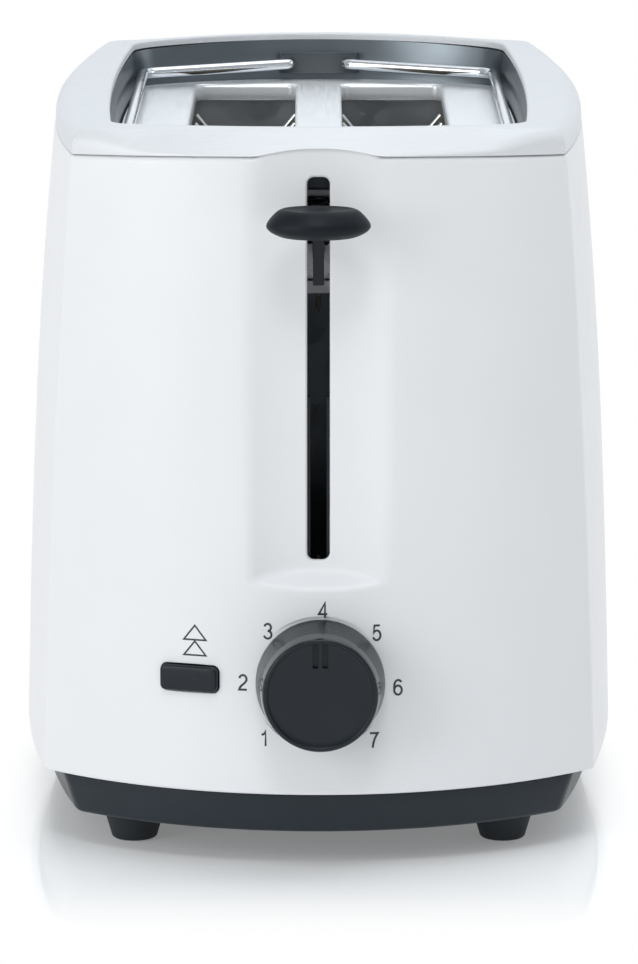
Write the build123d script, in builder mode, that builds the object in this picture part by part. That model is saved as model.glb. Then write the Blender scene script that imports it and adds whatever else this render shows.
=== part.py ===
from build123d import *
import os
from math import sqrt, sin, cos, asin, radians, degrees

os.makedirs("parts", exist_ok=True)

# ---------------------------------------------------------------- dimensions
# All in millimetres. The lever end is the front, at -Y. The origin is on the
# floor, below the middle of the overall length, lever knob included.
BODY_Y = 8.25           # the casing's own middle lies this far behind the origin

WALL = 2.4              # casing wall
BOW_R = 108.0           # plan radius of the front and rear panels
SEAM = 0.05             # half of the joint gap at each upright corner
CROWN_R = 1050.0        # radius of the crowned top, about an axis along Y

# plan of the casing at each height: z, half width, half width at the corner, half length
LEVELS = [
    (20.9, 83.6, 75.35, 130.4),
    (50.0, 82.85, 74.4, 130.1),
    (80.0, 81.9, 73.1, 129.6),
    (110.0, 80.6, 71.65, 129.0),
    (140.0, 78.85, 69.95, 128.3),
    (170.0, 76.5, 68.0, 127.4),
    (195.0, 74.15, 65.9, 126.5),
]
PANEL_TOP = 192.8       # top of the panels on the centre line
CREST = 200.0           # top of the rim on the centre line

OPEN_W, OPEN_XC, OPEN_L, OPEN_R, OPEN_FILLET = 58.5, 55.5, 117.0, 89.4, 14.0
PLATE_TOP, PLATE_T = 186.0, 0.8
SLOT_X, SLOT_W, SLOT_Y0, SLOT_Y1, SLOT_FLANGE = 22.0, 30.3, -42.0, 101.0, 5.0

LEVER_SLOT_W, LEVER_SLOT_Z0, LEVER_SLOT_Z1 = 6.0, 84.3, 187.2
CHANNEL_HALF = 18.2

BASE_Z0, BASE_Z1, BASE_FLOOR = 9.7, 20.7, 2.5
FOOT_X, FOOT_Y_FRONT, FOOT_Y_REAR = 50.7, -92.0, 87.0

CHASSIS_F, CHASSIS_R, SHEET = -49.2, 104.0, 1.2     # front faces of the two chassis plates
CHASSIS_HALF, CHASSIS_TOP = 58.0, 180.5
LIFT_TRAVEL, LIFT_EXTRA = 85.0, 5.0
LIFTER_Z = 125.0        # bread rest, lever up
GUIDE_IN, GUIDE_OUT, GUIDE_Z, GUIDE_WIRE = 11.5, 32.5, 34.0, 0.8
ROD_X, ROD_Y, ROD_R, RUN = 13.0, -62.0, 2.5, 0.05   # RUN is the running clearance

KNOB_X, KNOB_Z = 0.5, 51.8
BUTTON_X, BUTTON_Z, BUTTON_W, BUTTON_H = -34.6, 52.0, 16.2, 7.0
RACK_PIVOT_X, RACK_Z, RACK_WIRE = 8.5, 191.0, 1.6

CENTRE = Plane(origin=(0, BODY_Y, 0))


def level(z):
    """Horizontal plane at height z, on the casing's middle."""
    return CENTRE.offset(z)


def facing(y):
    """Upright plane across the casing, seen from the front: x right, y up."""
    return Plane(origin=(0, BODY_Y + y, 0), x_dir=(1, 0, 0), z_dir=(0, -1, 0))


def along(x):
    """Upright plane along the casing: x to the rear, y up, normal to +X."""
    return Plane(origin=(x, BODY_Y, 0), x_dir=(0, 1, 0), z_dir=(1, 0, 0))


def corner_y(xc, length, bow):
    return length - (bow - sqrt(bow * bow - xc * xc))


def inner_corner(w, xc, length, bow, t):
    """Where the inner faces of the bowed end wall and the side wall meet (x, y > 0)."""
    yc = corner_y(xc, length, bow)
    sx = (xc * xc + yc * yc - w * w) / (2 * (xc - w))
    r1, r2 = bow - t, (w - sx) - t
    ay = length - bow
    dx, dy = sx, -ay
    d = sqrt(dx * dx + dy * dy)
    a = (r1 * r1 - r2 * r2 + d * d) / (2 * d)
    h = sqrt(r1 * r1 - a * a)
    px, py = a * dx / d, ay + a * dy / d
    qx, qy = h * dy / d, h * dx / d
    options = [(px + qx, py - qy), (px - qx, py + qy)]
    return max(options, key=lambda p: p[0] + p[1])


def end_y(x, length, bow):
    return length - (bow - sqrt(bow * bow - x * x))


def outline(w, xc, length, bow):
    """Closed plan of four arcs, added to the BuildLine in force."""
    yc = corner_y(xc, length, bow)
    ThreePointArc((-xc, -yc), (0, -length), (xc, -yc))
    ThreePointArc((xc, -yc), (w, 0), (xc, yc))
    ThreePointArc((xc, yc), (0, length), (-xc, yc))
    ThreePointArc((-xc, yc), (-w, 0), (-xc, -yc))


def end_wall(w, xc, length, sign):
    """Plan of the front (sign -1) or rear (sign 1) wall at one height."""
    ix, iy = inner_corner(w, xc, length, BOW_R, WALL)
    xo, xi = xc - SEAM, ix - SEAM
    yo = end_y(xo, length, BOW_R) * sign
    yi = end_y(xi, length - WALL, BOW_R - WALL) * sign
    ThreePointArc((-xo, yo), (0, length * sign), (xo, yo))
    Line((xo, yo), (xi, yi))
    ThreePointArc((xi, yi), (0, (length - WALL) * sign), (-xi, yi))
    Line((-xi, yi), (-xo, yo))


def side_wall(w, xc, length, sign):
    ix, iy = inner_corner(w, xc, length, BOW_R, WALL)
    yc = corner_y(xc, length, BOW_R)
    yo, yi = yc - SEAM, iy - SEAM
    slope = (w - xc) * 2 / yc
    xo = (xc + SEAM * slope) * sign
    xi = (ix + SEAM * slope) * sign
    ThreePointArc((xo, -yo), (w * sign, 0), (xo, yo))
    Line((xo, yo), (xi, yi))
    ThreePointArc((xi, yi), ((w - WALL) * sign, 0), (xi, -yi))
    Line((xi, -yi), (xo, -yo))


def crown_drop(x, r):
    return r - sqrt(r * r - x * x)


def above_crown(z):
    """Everything above the crowned surface whose centre line is at z."""
    d = crown_drop(100, CROWN_R)
    with BuildSketch(facing(0)) as cap:
        with BuildLine():
            ThreePointArc((-100, z - d), (0, z), (100, z - d))
            Line((100, z - d), (100, 215))
            Line((100, 215), (-100, 215))
            Line((-100, 215), (-100, z - d))
        make_face()
    extrude(cap.sketch, amount=150, both=True, mode=Mode.SUBTRACT)


def below_crown(z):
    """Everything below the crowned surface whose centre line is at z."""
    d = crown_drop(100, CROWN_R)
    with BuildSketch(facing(0)) as cap:
        with BuildLine():
            ThreePointArc((-100, z - d), (0, z), (100, z - d))
            Line((100, z - d), (100, 150))
            Line((100, 150), (-100, 150))
            Line((-100, 150), (-100, z - d))
        make_face()
    extrude(cap.sketch, amount=150, both=True, mode=Mode.SUBTRACT)


def opening(d):
    """Plan of the top opening, grown by d, added to the BuildLine in force."""
    outline(OPEN_W + d, OPEN_XC + d, OPEN_L + d, OPEN_R + d)


# ------------------------------------------------------------------- casing
# Front panel: bowed wall, scooped channel for the lever, slot, knob and button holes.
with BuildPart() as front_panel:
    for z, w, xc, length in LEVELS:
        with BuildSketch(level(z)):
            with BuildLine():
                end_wall(w, xc, length, -1)
            make_face()
    loft()
    # thicker wall behind the channel
    with BuildSketch(level(75.5)):
        with Locations((0, -125.1)):
            Rectangle(42, 5.0)
    with BuildSketch(level(195)):
        with Locations((0, -122.7)):
            Rectangle(42, 2.6)
    loft()
    # scooped channel, shallower towards the top
    with BuildSketch(level(76)):
        with BuildLine():
            ThreePointArc((-CHANNEL_HALF, -128.12), (0, -125.1), (CHANNEL_HALF, -128.12))
            Polyline((CHANNEL_HALF, -128.12), (CHANNEL_HALF, -140), (-CHANNEL_HALF, -140), (-CHANNEL_HALF, -128.12))
        make_face()
    with BuildSketch(level(205)):
        with BuildLine():
            ThreePointArc((-CHANNEL_HALF, -124.75), (0, -124.1), (CHANNEL_HALF, -124.75))
            Polyline((CHANNEL_HALF, -124.75), (CHANNEL_HALF, -140), (-CHANNEL_HALF, -140), (-CHANNEL_HALF, -124.75))
        make_face()
    loft(mode=Mode.SUBTRACT)
    # sloping lower end of the channel
    with BuildSketch(along(0)):
        with BuildLine():
            Polyline((-128.6, 74.5), (-128.6, 78.0), (-124.0, 82.6), (-123.4, 82.6), (-123.4, 74.5), (-128.6, 74.5))
        make_face()
    extrude(amount=18.1, both=True)
    # lever slot
    with BuildSketch(facing(-110)):
        with Locations((0, (LEVER_SLOT_Z0 + LEVER_SLOT_Z1) / 2)):
            RectangleRounded(LEVER_SLOT_W, LEVER_SLOT_Z1 - LEVER_SLOT_Z0, 1.9)
    extrude(amount=30, mode=Mode.SUBTRACT)
    # flat seat and hub hole for the browning knob
    with BuildSketch(facing(-129.2)):
        with Locations((KNOB_X, KNOB_Z)):
            Circle(18.2)
    extrude(amount=10, mode=Mode.SUBTRACT)
    with BuildSketch(facing(-120)):
        with Locations((KNOB_X, KNOB_Z)):
            Circle(6.0)
    extrude(amount=20, mode=Mode.SUBTRACT)
    above_crown(PANEL_TOP)

# eject button hole, square to the bowed wall at the button
BUTTON_TURN = degrees(asin(BUTTON_X / BOW_R))
BUTTON_Y = -end_y(-BUTTON_X, 130.1, BOW_R)
BUTTON_PLANE = Plane(
    origin=(BUTTON_X, BODY_Y + BUTTON_Y, BUTTON_Z),
    x_dir=(cos(radians(BUTTON_TURN)), sin(radians(BUTTON_TURN)), 0),
    z_dir=(sin(radians(BUTTON_TURN)), -cos(radians(BUTTON_TURN)), 0),
)
with front_panel:
    with BuildSketch(BUTTON_PLANE.offset(-6)):
        RectangleRounded(BUTTON_W + 0.6, BUTTON_H + 0.6, 1.8)
    extrude(amount=12, mode=Mode.SUBTRACT)
front_panel.part.label = "front_panel"
export_step(front_panel.part, "parts/front_panel.step")

# Rear panel: plain bowed wall with a row of air slots and the cord inlet hole.
INLET_X, INLET_Z, INLET_R = 0.0, 32.0, 6.0
with BuildPart() as rear_panel:
    for z, w, xc, length in LEVELS:
        with BuildSketch(level(z)):
            with BuildLine():
                end_wall(w, xc, length, 1)
            make_face()
    loft()
    with BuildSketch(facing(80)):
        with Locations((INLET_X, INLET_Z)):
            Circle(INLET_R)
        with Locations((0, 58)):
            with GridLocations(7, 1, 9, 1):
                SlotOverall(22, 2.6, rotation=90)
    extrude(amount=-60, mode=Mode.SUBTRACT)
    above_crown(PANEL_TOP)
rear_panel.part.label = "rear_panel"
export_step(rear_panel.part, "parts/rear_panel.step")

# Side shells.
with BuildPart() as side_shell_right:
    for z, w, xc, length in LEVELS:
        with BuildSketch(level(z)):
            with BuildLine():
                side_wall(w, xc, length, 1)
            make_face()
    loft()
    above_crown(PANEL_TOP)
side_shell_right.part.label = "side_shell_right"
export_step(side_shell_right.part, "parts/side_shell_right.step")

with BuildPart() as side_shell_left:
    for z, w, xc, length in LEVELS:
        with BuildSketch(level(z)):
            with BuildLine():
                side_wall(w, xc, length, -1)
            make_face()
    loft()
    above_crown(PANEL_TOP)
side_shell_left.part.label = "side_shell_left"
export_step(side_shell_left.part, "parts/side_shell_left.step")

# Hollow under the rim, kept as its own shape so that it can be crowned first.
with BuildPart() as rim_core:
    with BuildSketch(level(180)):
        with BuildLine():
            outline(72.0, 63.8, 124.2, 105.0)
        make_face()
    with BuildSketch(level(190.4)):
        with BuildLine():
            outline(72.0, 63.8, 124.2, 105.0)
        make_face()
    with BuildSketch(level(195.4)):
        with BuildLine():
            outline(69.9, 62.3, 120.3, 97.0)
        make_face()
    with BuildSketch(level(198.4)):
        with BuildLine():
            outline(59.9, 56.9, 118.4, 90.8)
        make_face()
    loft(ruled=True)
    above_crown(198.1)

# Top rim: a picture frame that slopes up and inwards to a rounded lip.
with BuildPart() as top_rim:
    with BuildSketch(level(186)):
        with BuildLine():
            outline(74.4, 66.1, 126.6, BOW_R)
        make_face()
    with BuildSketch(level(193.0)):
        with BuildLine():
            outline(74.3, 66.0, 126.5, BOW_R)
        make_face()
    with BuildSketch(level(197.3)):
        with BuildLine():
            outline(72.3, 64.6, 121.9, 99.0)
        make_face()
    with BuildSketch(level(200.4)):
        with BuildLine():
            outline(60.0, 57.0, 118.5, 90.9)
        make_face()
    loft(ruled=True)
    add(rim_core.part, mode=Mode.SUBTRACT)
    with BuildSketch(level(180)) as mouth:
        with BuildLine():
            opening(0)
        make_face()
        fillet(mouth.vertices(), OPEN_FILLET)
    extrude(amount=30, mode=Mode.SUBTRACT)
    above_crown(CREST)
    below_crown(PANEL_TOP + 0.1)
    # the lever channel runs up into the front of the rim
    with BuildSketch(level(186)):
        with BuildLine():
            ThreePointArc((-CHANNEL_HALF, -125.3), (0, -124.25), (CHANNEL_HALF, -125.3))
            Polyline((CHANNEL_HALF, -125.3), (CHANNEL_HALF, -140), (-CHANNEL_HALF, -140), (-CHANNEL_HALF, -125.3))
        make_face()
    extrude(amount=20, mode=Mode.SUBTRACT)
top_rim.part.label = "top_rim"
export_step(top_rim.part, "parts/top_rim.step")

# Opening liner: thin drawn wall below the lip, drafted inwards.
LINER_T = 1.0
with BuildPart() as opening_liner:
    with BuildSketch(level(183.5)) as s1:
        with BuildLine():
            opening(-0.8)
        make_face()
        fillet(s1.vertices(), OPEN_FILLET - 0.8)
    with BuildSketch(level(199)) as s2:
        with BuildLine():
            opening(1.2)
        make_face()
        fillet(s2.vertices(), OPEN_FILLET + 1.2)
    loft()
    with BuildSketch(level(183.5)) as s3:
        with BuildLine():
            opening(-0.8 - LINER_T)
        make_face()
        fillet(s3.vertices(), OPEN_FILLET - 0.8 - LINER_T)
    with BuildSketch(level(199)) as s4:
        with BuildLine():
            opening(1.2 - LINER_T)
        make_face()
        fillet(s4.vertices(), OPEN_FILLET + 1.2 - LINER_T)
    loft(mode=Mode.SUBTRACT)
    above_crown(197.9)
opening_liner.part.label = "opening_liner"
export_step(opening_liner.part, "parts/opening_liner.step")

# Top plate: sheet with two bread slots, each with a turned-down flange.
SLOT_LEN, SLOT_MID = SLOT_Y1 - SLOT_Y0, (SLOT_Y0 + SLOT_Y1) / 2
with BuildPart() as top_plate:
    with BuildSketch(level(PLATE_TOP - PLATE_T)) as s5:
        with BuildLine():
            opening(-2.2)
        make_face()
        fillet(s5.vertices(), OPEN_FILLET - 2.2)
    extrude(amount=PLATE_T)
    with BuildSketch(level(PLATE_TOP)):
        with Locations((-SLOT_X, SLOT_MID), (SLOT_X, SLOT_MID)):
            RectangleRounded(SLOT_W + 1.6, SLOT_LEN + 1.6, 3.8)
    extrude(amount=-SLOT_FLANGE)
    with BuildSketch(level(PLATE_TOP)):
        with Locations((-SLOT_X, SLOT_MID), (SLOT_X, SLOT_MID)):
            RectangleRounded(SLOT_W, SLOT_LEN, 3.0)
    extrude(amount=-SLOT_FLANGE, mode=Mode.SUBTRACT)
top_plate.part.label = "top_plate"
export_step(top_plate.part, "parts/top_plate.step")

# Base: shallow bowed tray, open to the rear for the crumb tray.
BASE_SCREWS = [(-51, -42), (51, -42), (-51, 100), (51, 100)]
with BuildPart() as base:
    with BuildSketch(level(BASE_Z0)) as b1:
        with BuildLine():
            outline(78.0, 65.9, 126.2, 106.0)
        make_face()
        fillet(b1.vertices(), 5)
    with BuildSketch(level(BASE_Z1)) as b2:
        with BuildLine():
            outline(80.8, 69.6, 128.6, 107.5)
        make_face()
        fillet(b2.vertices(), 5)
    loft()
    with BuildSketch(level(BASE_Z0 + BASE_FLOOR)) as b3:
        with BuildLine():
            outline(76.2, 64.2, 124.4, 104.0)
        make_face()
        fillet(b3.vertices(), 3)
    with BuildSketch(level(BASE_Z1)) as b4:
        with BuildLine():
            outline(78.4, 67.2, 126.2, 105.1)
        make_face()
        fillet(b4.vertices(), 3)
    loft(mode=Mode.SUBTRACT)
    # crumb tray mouth in the rear wall
    with BuildSketch(facing(90)):
        with Locations((0, 16.2)):
            Rectangle(87.0, 7.2)
    extrude(amount=-50, mode=Mode.SUBTRACT)
    # air slots beside the tray, foot sockets and screw holes
    with BuildSketch(level(BASE_Z0)):
        with Locations((-62, 0), (62, 0)):
            with GridLocations(1, 12, 1, 9):
                SlotOverall(16, 3)
        with Locations(*[(sx * FOOT_X, fy) for sx in (-1, 1) for fy in (FOOT_Y_FRONT, FOOT_Y_REAR)]):
            Circle(3.1)
        with Locations(*BASE_SCREWS):
            Circle(1.6)
    extrude(amount=BASE_FLOOR, mode=Mode.SUBTRACT)
    with BuildSketch(level(BASE_Z0)):
        with Locations(*BASE_SCREWS):
            Circle(3.0)
    extrude(amount=1.3, mode=Mode.SUBTRACT)
base.part.label = "base"
export_step(base.part, "parts/base.step")

# Feet: short tapered rubber cones with a rounded lower edge and a spigot.
for label, fx, fy in (
    ("foot_front_left", -FOOT_X, FOOT_Y_FRONT),
    ("foot_front_right", FOOT_X, FOOT_Y_FRONT),
    ("foot_rear_left", -FOOT_X, FOOT_Y_REAR),
    ("foot_rear_right", FOOT_X, FOOT_Y_REAR),
):
    with BuildPart() as foot:
        with BuildSketch(Plane(origin=(fx, BODY_Y + fy, 0), x_dir=(1, 0, 0), z_dir=(0, -1, 0))):
            with BuildLine():
                Polyline((0, 0), (5.3, 0))
                ThreePointArc((5.3, 0), (6.05, 0.35), (6.4, 1.1))
                Polyline((6.4, 1.1), (8.9, 9.6), (3.0, 9.6), (3.0, 12.0), (0, 12.0), (0, 0))
            make_face()
        revolve(axis=Axis((fx, BODY_Y + fy, 0), (0, 0, 1)))
    foot.part.label = label
    export_step(foot.part, "parts/" + label + ".step")

# Crumb tray: thin pan that slides out to the rear, with a bowed front and a finger lip.
TRAY_HALF, TRAY_Y0, TRAY_Z, TRAY_BOW = 43.0, -46.0, 13.0, 127.4


def tray_plan(half, y0, bow_y, bow):
    ye = end_y(half, bow_y, bow)
    Polyline((-half, ye), (-half, y0), (half, y0), (half, ye))
    ThreePointArc((half, ye), (0, bow_y), (-half, ye))


with BuildPart() as crumb_tray:
    with BuildSketch(level(TRAY_Z)):
        with BuildLine():
            tray_plan(TRAY_HALF, TRAY_Y0, TRAY_BOW, 107.0)
        make_face()
    extrude(amount=6.4)
    with BuildSketch(level(TRAY_Z + 1.0)):
        with BuildLine():
            tray_plan(TRAY_HALF - 1.0, TRAY_Y0 + 1.0, TRAY_BOW - 2.0, 105.0)
        make_face()
    extrude(amount=6, mode=Mode.SUBTRACT)
    with BuildSketch(level(TRAY_Z + 5.0)):
        with Locations((0, 28)):
            Rectangle(100, 160)
    extrude(amount=6, mode=Mode.SUBTRACT)
    with BuildSketch(level(TRAY_Z + 4.0)):
        with Locations((0, 128.2)):
            RectangleRounded(30, 3.4, 1.4)
    extrude(amount=1.6)
crumb_tray.part.label = "crumb_tray"
export_step(crumb_tray.part, "parts/crumb_tray.step")

# Cord inlet: round bushing clipped into the rear panel, bore open.
INLET_Y = 130.35
with BuildPart() as cord_inlet:
    with BuildSketch(facing(INLET_Y - 8)):
        with Locations((INLET_X, INLET_Z)):
            Circle(INLET_R - 0.1)
    extrude(amount=-10.0)
    with BuildSketch(facing(INLET_Y + 2.15)):
        with Locations((INLET_X, INLET_Z)):
            Circle(8.4)
    extrude(amount=2.1)
    with BuildSketch(facing(INLET_Y - 9)):
        with Locations((INLET_X, INLET_Z)):
            Circle(3.6)
    extrude(amount=-20, mode=Mode.SUBTRACT)
cord_inlet.part.label = "cord_inlet"
export_step(cord_inlet.part, "parts/cord_inlet.step")

# ------------------------------------------------------------------ chassis
# Front chassis plate: carries rods, boards and guides; slots for the lifter necks.
BOARD_X, BOARD_T = 46.0, 0.8
FLANGE = 9.0


def chassis_sheet(y0, inward):
    """Plate from y0 to y0 + SHEET with feet and side flanges turned towards the heaters."""
    with BuildSketch(facing(y0)) as sheet:
        with Locations((0, (24 + CHASSIS_TOP) / 2)):
            Rectangle(2 * CHASSIS_HALF, CHASSIS_TOP - 24)
        with Locations((-51, 18.3), (51, 18.3)):
            Rectangle(10, 12.0)
    extrude(sheet.sketch, amount=-SHEET)
    y1 = y0 + SHEET if inward > 0 else y0 - FLANGE
    with BuildSketch(level(12.3)) as feet:
        with Locations((-51, y1 + FLANGE / 2), (51, y1 + FLANGE / 2)):
            Rectangle(10, FLANGE)
    extrude(feet.sketch, amount=2.0)
    with BuildSketch(level(24)) as sides:
        with Locations((-(CHASSIS_HALF - 0.6), y1 + FLANGE / 2), (CHASSIS_HALF - 0.6, y1 + FLANGE / 2)):
            Rectangle(1.2, FLANGE)
    extrude(sides.sketch, amount=CHASSIS_TOP - 24)
    # pivot holes of the bread guides, and tab slots of the heater boards
    with BuildSketch(facing(y0 + 5)) as holes:
        with Locations(*[(sx * gx, GUIDE_Z) for sx in (-1, 1) for gx in (GUIDE_IN, GUIDE_OUT)]):
            Circle(GUIDE_WIRE + RUN)
        with Locations(*[(bx, bz) for bx in (-BOARD_X, 0, BOARD_X) for bz in (65, 145)]):
            Rectangle(BOARD_T + 0.4, 10.6)
    extrude(holes.sketch, amount=10, both=True, mode=Mode.SUBTRACT)


FRONT_SCREWS_Y, REAR_SCREWS_Y = -43.5, 99.5
with BuildPart() as chassis_front_plate:
    chassis_sheet(CHASSIS_F, 1)
    with BuildSketch(facing(CHASSIS_F)):
        with Locations((-SLOT_X, 82.5), (SLOT_X, 82.5)):
            SlotOverall(107, 4.4, rotation=90)
    extrude(amount=-SHEET, mode=Mode.SUBTRACT)
    with BuildSketch(level(12)):
        with Locations(*BASE_SCREWS):
            Circle(1.55)
    extrude(amount=4, mode=Mode.SUBTRACT)
    with BuildSketch(along(0)):
        with Locations((FRONT_SCREWS_Y, 55), (FRONT_SCREWS_Y, 150)):
            Circle(1.45)
    extrude(amount=70, both=True, mode=Mode.SUBTRACT)
chassis_front_plate.part.label = "chassis_front_plate"
export_step(chassis_front_plate.part, "parts/chassis_front_plate.step")

with BuildPart() as chassis_rear_plate:
    chassis_sheet(CHASSIS_R, -1)
    with BuildSketch(level(12)):
        with Locations(*BASE_SCREWS):
            Circle(1.55)
    extrude(amount=4, mode=Mode.SUBTRACT)
    with BuildSketch(along(0)):
        with Locations((REAR_SCREWS_Y, 55), (REAR_SCREWS_Y, 150)):
            Circle(1.45)
    extrude(amount=70, both=True, mode=Mode.SUBTRACT)
chassis_rear_plate.part.label = "chassis_rear_plate"
export_step(chassis_rear_plate.part, "parts/chassis_rear_plate.step")

# Heat shields on both sides of the heaters.
for label, side in (("heat_shield_left", -1), ("heat_shield_right", 1)):
    with BuildPart() as shield:
        with BuildSketch(along(side * (CHASSIS_HALF + 0.1))):
            with Locations(((CHASSIS_F + CHASSIS_R + SHEET) / 2, 102)):
                Rectangle(CHASSIS_R + SHEET - CHASSIS_F, 150)
            with Locations(*[(yy, zz) for yy in (FRONT_SCREWS_Y, REAR_SCREWS_Y) for zz in (55, 150)]):
                Circle(1.5, mode=Mode.SUBTRACT)
        extrude(amount=side * 0.8)
        # stiffening ribs pressed into the sheet
        with BuildSketch(along(side * (CHASSIS_HALF + 0.9))):
            with Locations((28, 80), (28, 125)):
                SlotOverall(110, 6)
        extrude(amount=side * 0.8)
    shield.part.label = label
    export_step(shield.part, "parts/" + label + ".step")

with BuildPart() as chassis_screws:
    for side in (-1, 1):
        with BuildSketch(along(side * (CHASSIS_HALF + 0.9))):
            with Locations(*[(yy, zz) for yy in (FRONT_SCREWS_Y, REAR_SCREWS_Y) for zz in (55, 150)]):
                Circle(2.6)
        extrude(amount=side * 1.5)
        with BuildSketch(along(side * (CHASSIS_HALF - 4))):
            with Locations(*[(yy, zz) for yy in (FRONT_SCREWS_Y, REAR_SCREWS_Y) for zz in (55, 150)]):
                Circle(1.4)
        extrude(amount=side * 5.2)
chassis_screws.part.label = "chassis_screws"
export_step(chassis_screws.part, "parts/chassis_screws.step")

with BuildPart() as base_screws:
    with BuildSketch(level(BASE_Z0 + 0.1)):
        with Locations(*BASE_SCREWS):
            Circle(2.8)
            RectangleRounded(3.6, 0.8, 0.2, mode=Mode.SUBTRACT)
    extrude(amount=1.2)
    with BuildSketch(level(BASE_Z0 + 0.8)):
        with Locations(*BASE_SCREWS):
            Circle(1.5)
    extrude(amount=6.5)
base_screws.part.label = "base_screws"
export_step(base_screws.part, "parts/base_screws.step")

# ------------------------------------------------------------------ heating
# Mica boards with end tabs, and flat resistance ribbon in a serpentine on each face.
BOARD_Y0, BOARD_Y1, BOARD_Z0, BOARD_Z1 = CHASSIS_F + SHEET + 0.4, CHASSIS_R - 0.4, 34.0, 176.0
for label, bx, faces in (("left", -BOARD_X, (1,)), ("centre", 0.0, (-1, 1)), ("right", BOARD_X, (-1,))):
    with BuildPart() as board:
        with BuildSketch(along(bx - BOARD_T / 2)):
            with Locations(((BOARD_Y0 + BOARD_Y1) / 2, (BOARD_Z0 + BOARD_Z1) / 2)):
                Rectangle(BOARD_Y1 - BOARD_Y0, BOARD_Z1 - BOARD_Z0)
            with Locations(((CHASSIS_F + CHASSIS_R + SHEET) / 2, 65), ((CHASSIS_F + CHASSIS_R + SHEET) / 2, 145)):
                Rectangle(CHASSIS_R - CHASSIS_F + SHEET + 3.0, 10)
        extrude(amount=BOARD_T)
    board.part.label = "heater_board_" + label
    export_step(board.part, "parts/heater_board_" + label + ".step")
    with BuildPart() as ribbon:
        for face in faces:
            with BuildSketch(along(bx + face * (BOARD_T / 2 + 0.02))):
                rows = 11
                for i in range(rows):
                    with Locations((28.4, 44 + 12 * i)):
                        Rectangle(138, 2.2)
                for i in range(rows - 1):
                    with Locations((28.4 + (67.9 if i % 2 else -67.9), 50 + 12 * i)):
                        Rectangle(2.2, 14.2)
            extrude(amount=face * 0.3)
    ribbon.part.label = "heater_ribbon_" + label
    export_step(ribbon.part, "parts/heater_ribbon_" + label + ".step")

# Bread guides: wire grids that pivot on their lowest wire and flare out at the top.
for label, gx, flip in (
    ("bread_guide_right_outer", GUIDE_OUT, False),
    ("bread_guide_left_inner", -GUIDE_IN, False),
    ("bread_guide_left_outer", GUIDE_OUT, True),
    ("bread_guide_right_inner", -GUIDE_IN, True),
):
    with BuildPart() as grid:
        for i in range(7):
            gy = -34 + i * 21.0
            with BuildLine():
                FilletPolyline((gx, BODY_Y + gy, GUIDE_Z), (gx, BODY_Y + gy, 172), (gx + 4.6, BODY_Y + gy, 177.5), radius=2.5)
            with BuildSketch(Plane(origin=(gx, BODY_Y + gy, GUIDE_Z))):
                Circle(GUIDE_WIRE)
            sweep()
        with BuildSketch(facing(CHASSIS_F - 2)):
            with Locations((gx, GUIDE_Z)):
                Circle(GUIDE_WIRE)
        extrude(amount=-(CHASSIS_R + SHEET - CHASSIS_F + 4))
        with BuildSketch(facing(-36)):
            with Locations((gx, 104), (gx, 168)):
                Circle(GUIDE_WIRE * 0.9)
        extrude(amount=-130)
    with BuildPart() as guide:
        if flip:
            mirror(grid.part, about=Plane.YZ)
        else:
            add(grid.part)
    guide.part.label = label
    export_step(guide.part, "parts/" + label + ".step")

# --------------------------------------------------------------- lift system
# Guide rods and the two brackets that hold them to the front chassis plate.
with BuildPart() as guide_rods:
    with BuildSketch(level(27.0)):
        with Locations((-ROD_X, ROD_Y), (ROD_X, ROD_Y)):
            Circle(ROD_R)
    extrude(amount=154.3)
guide_rods.part.label = "guide_rods"
export_step(guide_rods.part, "parts/guide_rods.step")

for label, bz, tongue in (("rod_bracket_lower", 26.0, False), ("rod_bracket_upper", 180.0, True)):
    with BuildPart() as bracket:
        with BuildSketch(level(bz)):
            with Locations((0, -60.2)):
                Rectangle(40, 21.6)
            if tongue:
                with Locations((0, -88)):
                    Rectangle(11, 36)
            with Locations((-ROD_X, ROD_Y), (ROD_X, ROD_Y)):
                Circle(ROD_R + 0.02, mode=Mode.SUBTRACT)
        extrude(amount=1.5)
        with BuildSketch(facing(-50.8)):
            with Locations((0, bz + (-4 if tongue else 3.6))):
                Rectangle(40, 8 if tongue else 4.4)
        extrude(amount=-1.4)
    bracket.part.label = label
    export_step(bracket.part, "parts/" + label + ".step")

# Carriage: bushed plate with two legs down to the bread lifters.
with BuildPart() as carriage:
    with BuildSketch(facing(-54.6)):
        with Locations((0, 161)):
            Rectangle(50, 20)
        with Locations((-SLOT_X, 134.5), (SLOT_X, 134.5)):
            Rectangle(6, 33)
    extrude(amount=2.0)
    with BuildSketch(level(151)):
        with Locations((-ROD_X, ROD_Y), (ROD_X, ROD_Y)):
            Rectangle(11, 11.4)
        with Locations((0, -60)):
            Rectangle(17, 8)
    extrude(amount=20)
    with BuildSketch(level(140)):
        with Locations((-ROD_X, ROD_Y), (ROD_X, ROD_Y)):
            Circle(ROD_R + RUN)
    extrude(amount=40, mode=Mode.SUBTRACT)
    # pocket for the lever arm's tail
    with BuildSketch(along(0)):
        with Locations((-61.5, 161)):
            Rectangle(8.2, 8.2)
    extrude(amount=1.6, both=True, mode=Mode.SUBTRACT)
    # recess that keeps the armature plate
    with BuildSketch(level(151)):
        with Locations((0, -61)):
            Rectangle(4, 4)
    extrude(amount=2, mode=Mode.SUBTRACT)
carriage.part.label = "carriage"
export_step(carriage.part, "parts/carriage.step")

# Lever arm: flat steel strip, cranked down behind the panel and back to the carriage.
with BuildPart() as lever_arm:
    with BuildSketch(along(0)):
        with BuildLine():
            Polyline((-141, 174.8), (-141, 178.3), (-109, 178.3), (-109, 165), (-57.6, 165),
                     (-57.6, 157), (-115, 157), (-115, 174.8), (-141, 174.8))
        make_face()
    extrude(amount=1.5, both=True)
lever_arm.part.label = "lever_arm"
export_step(lever_arm.part, "parts/lever_arm.step")

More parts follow.
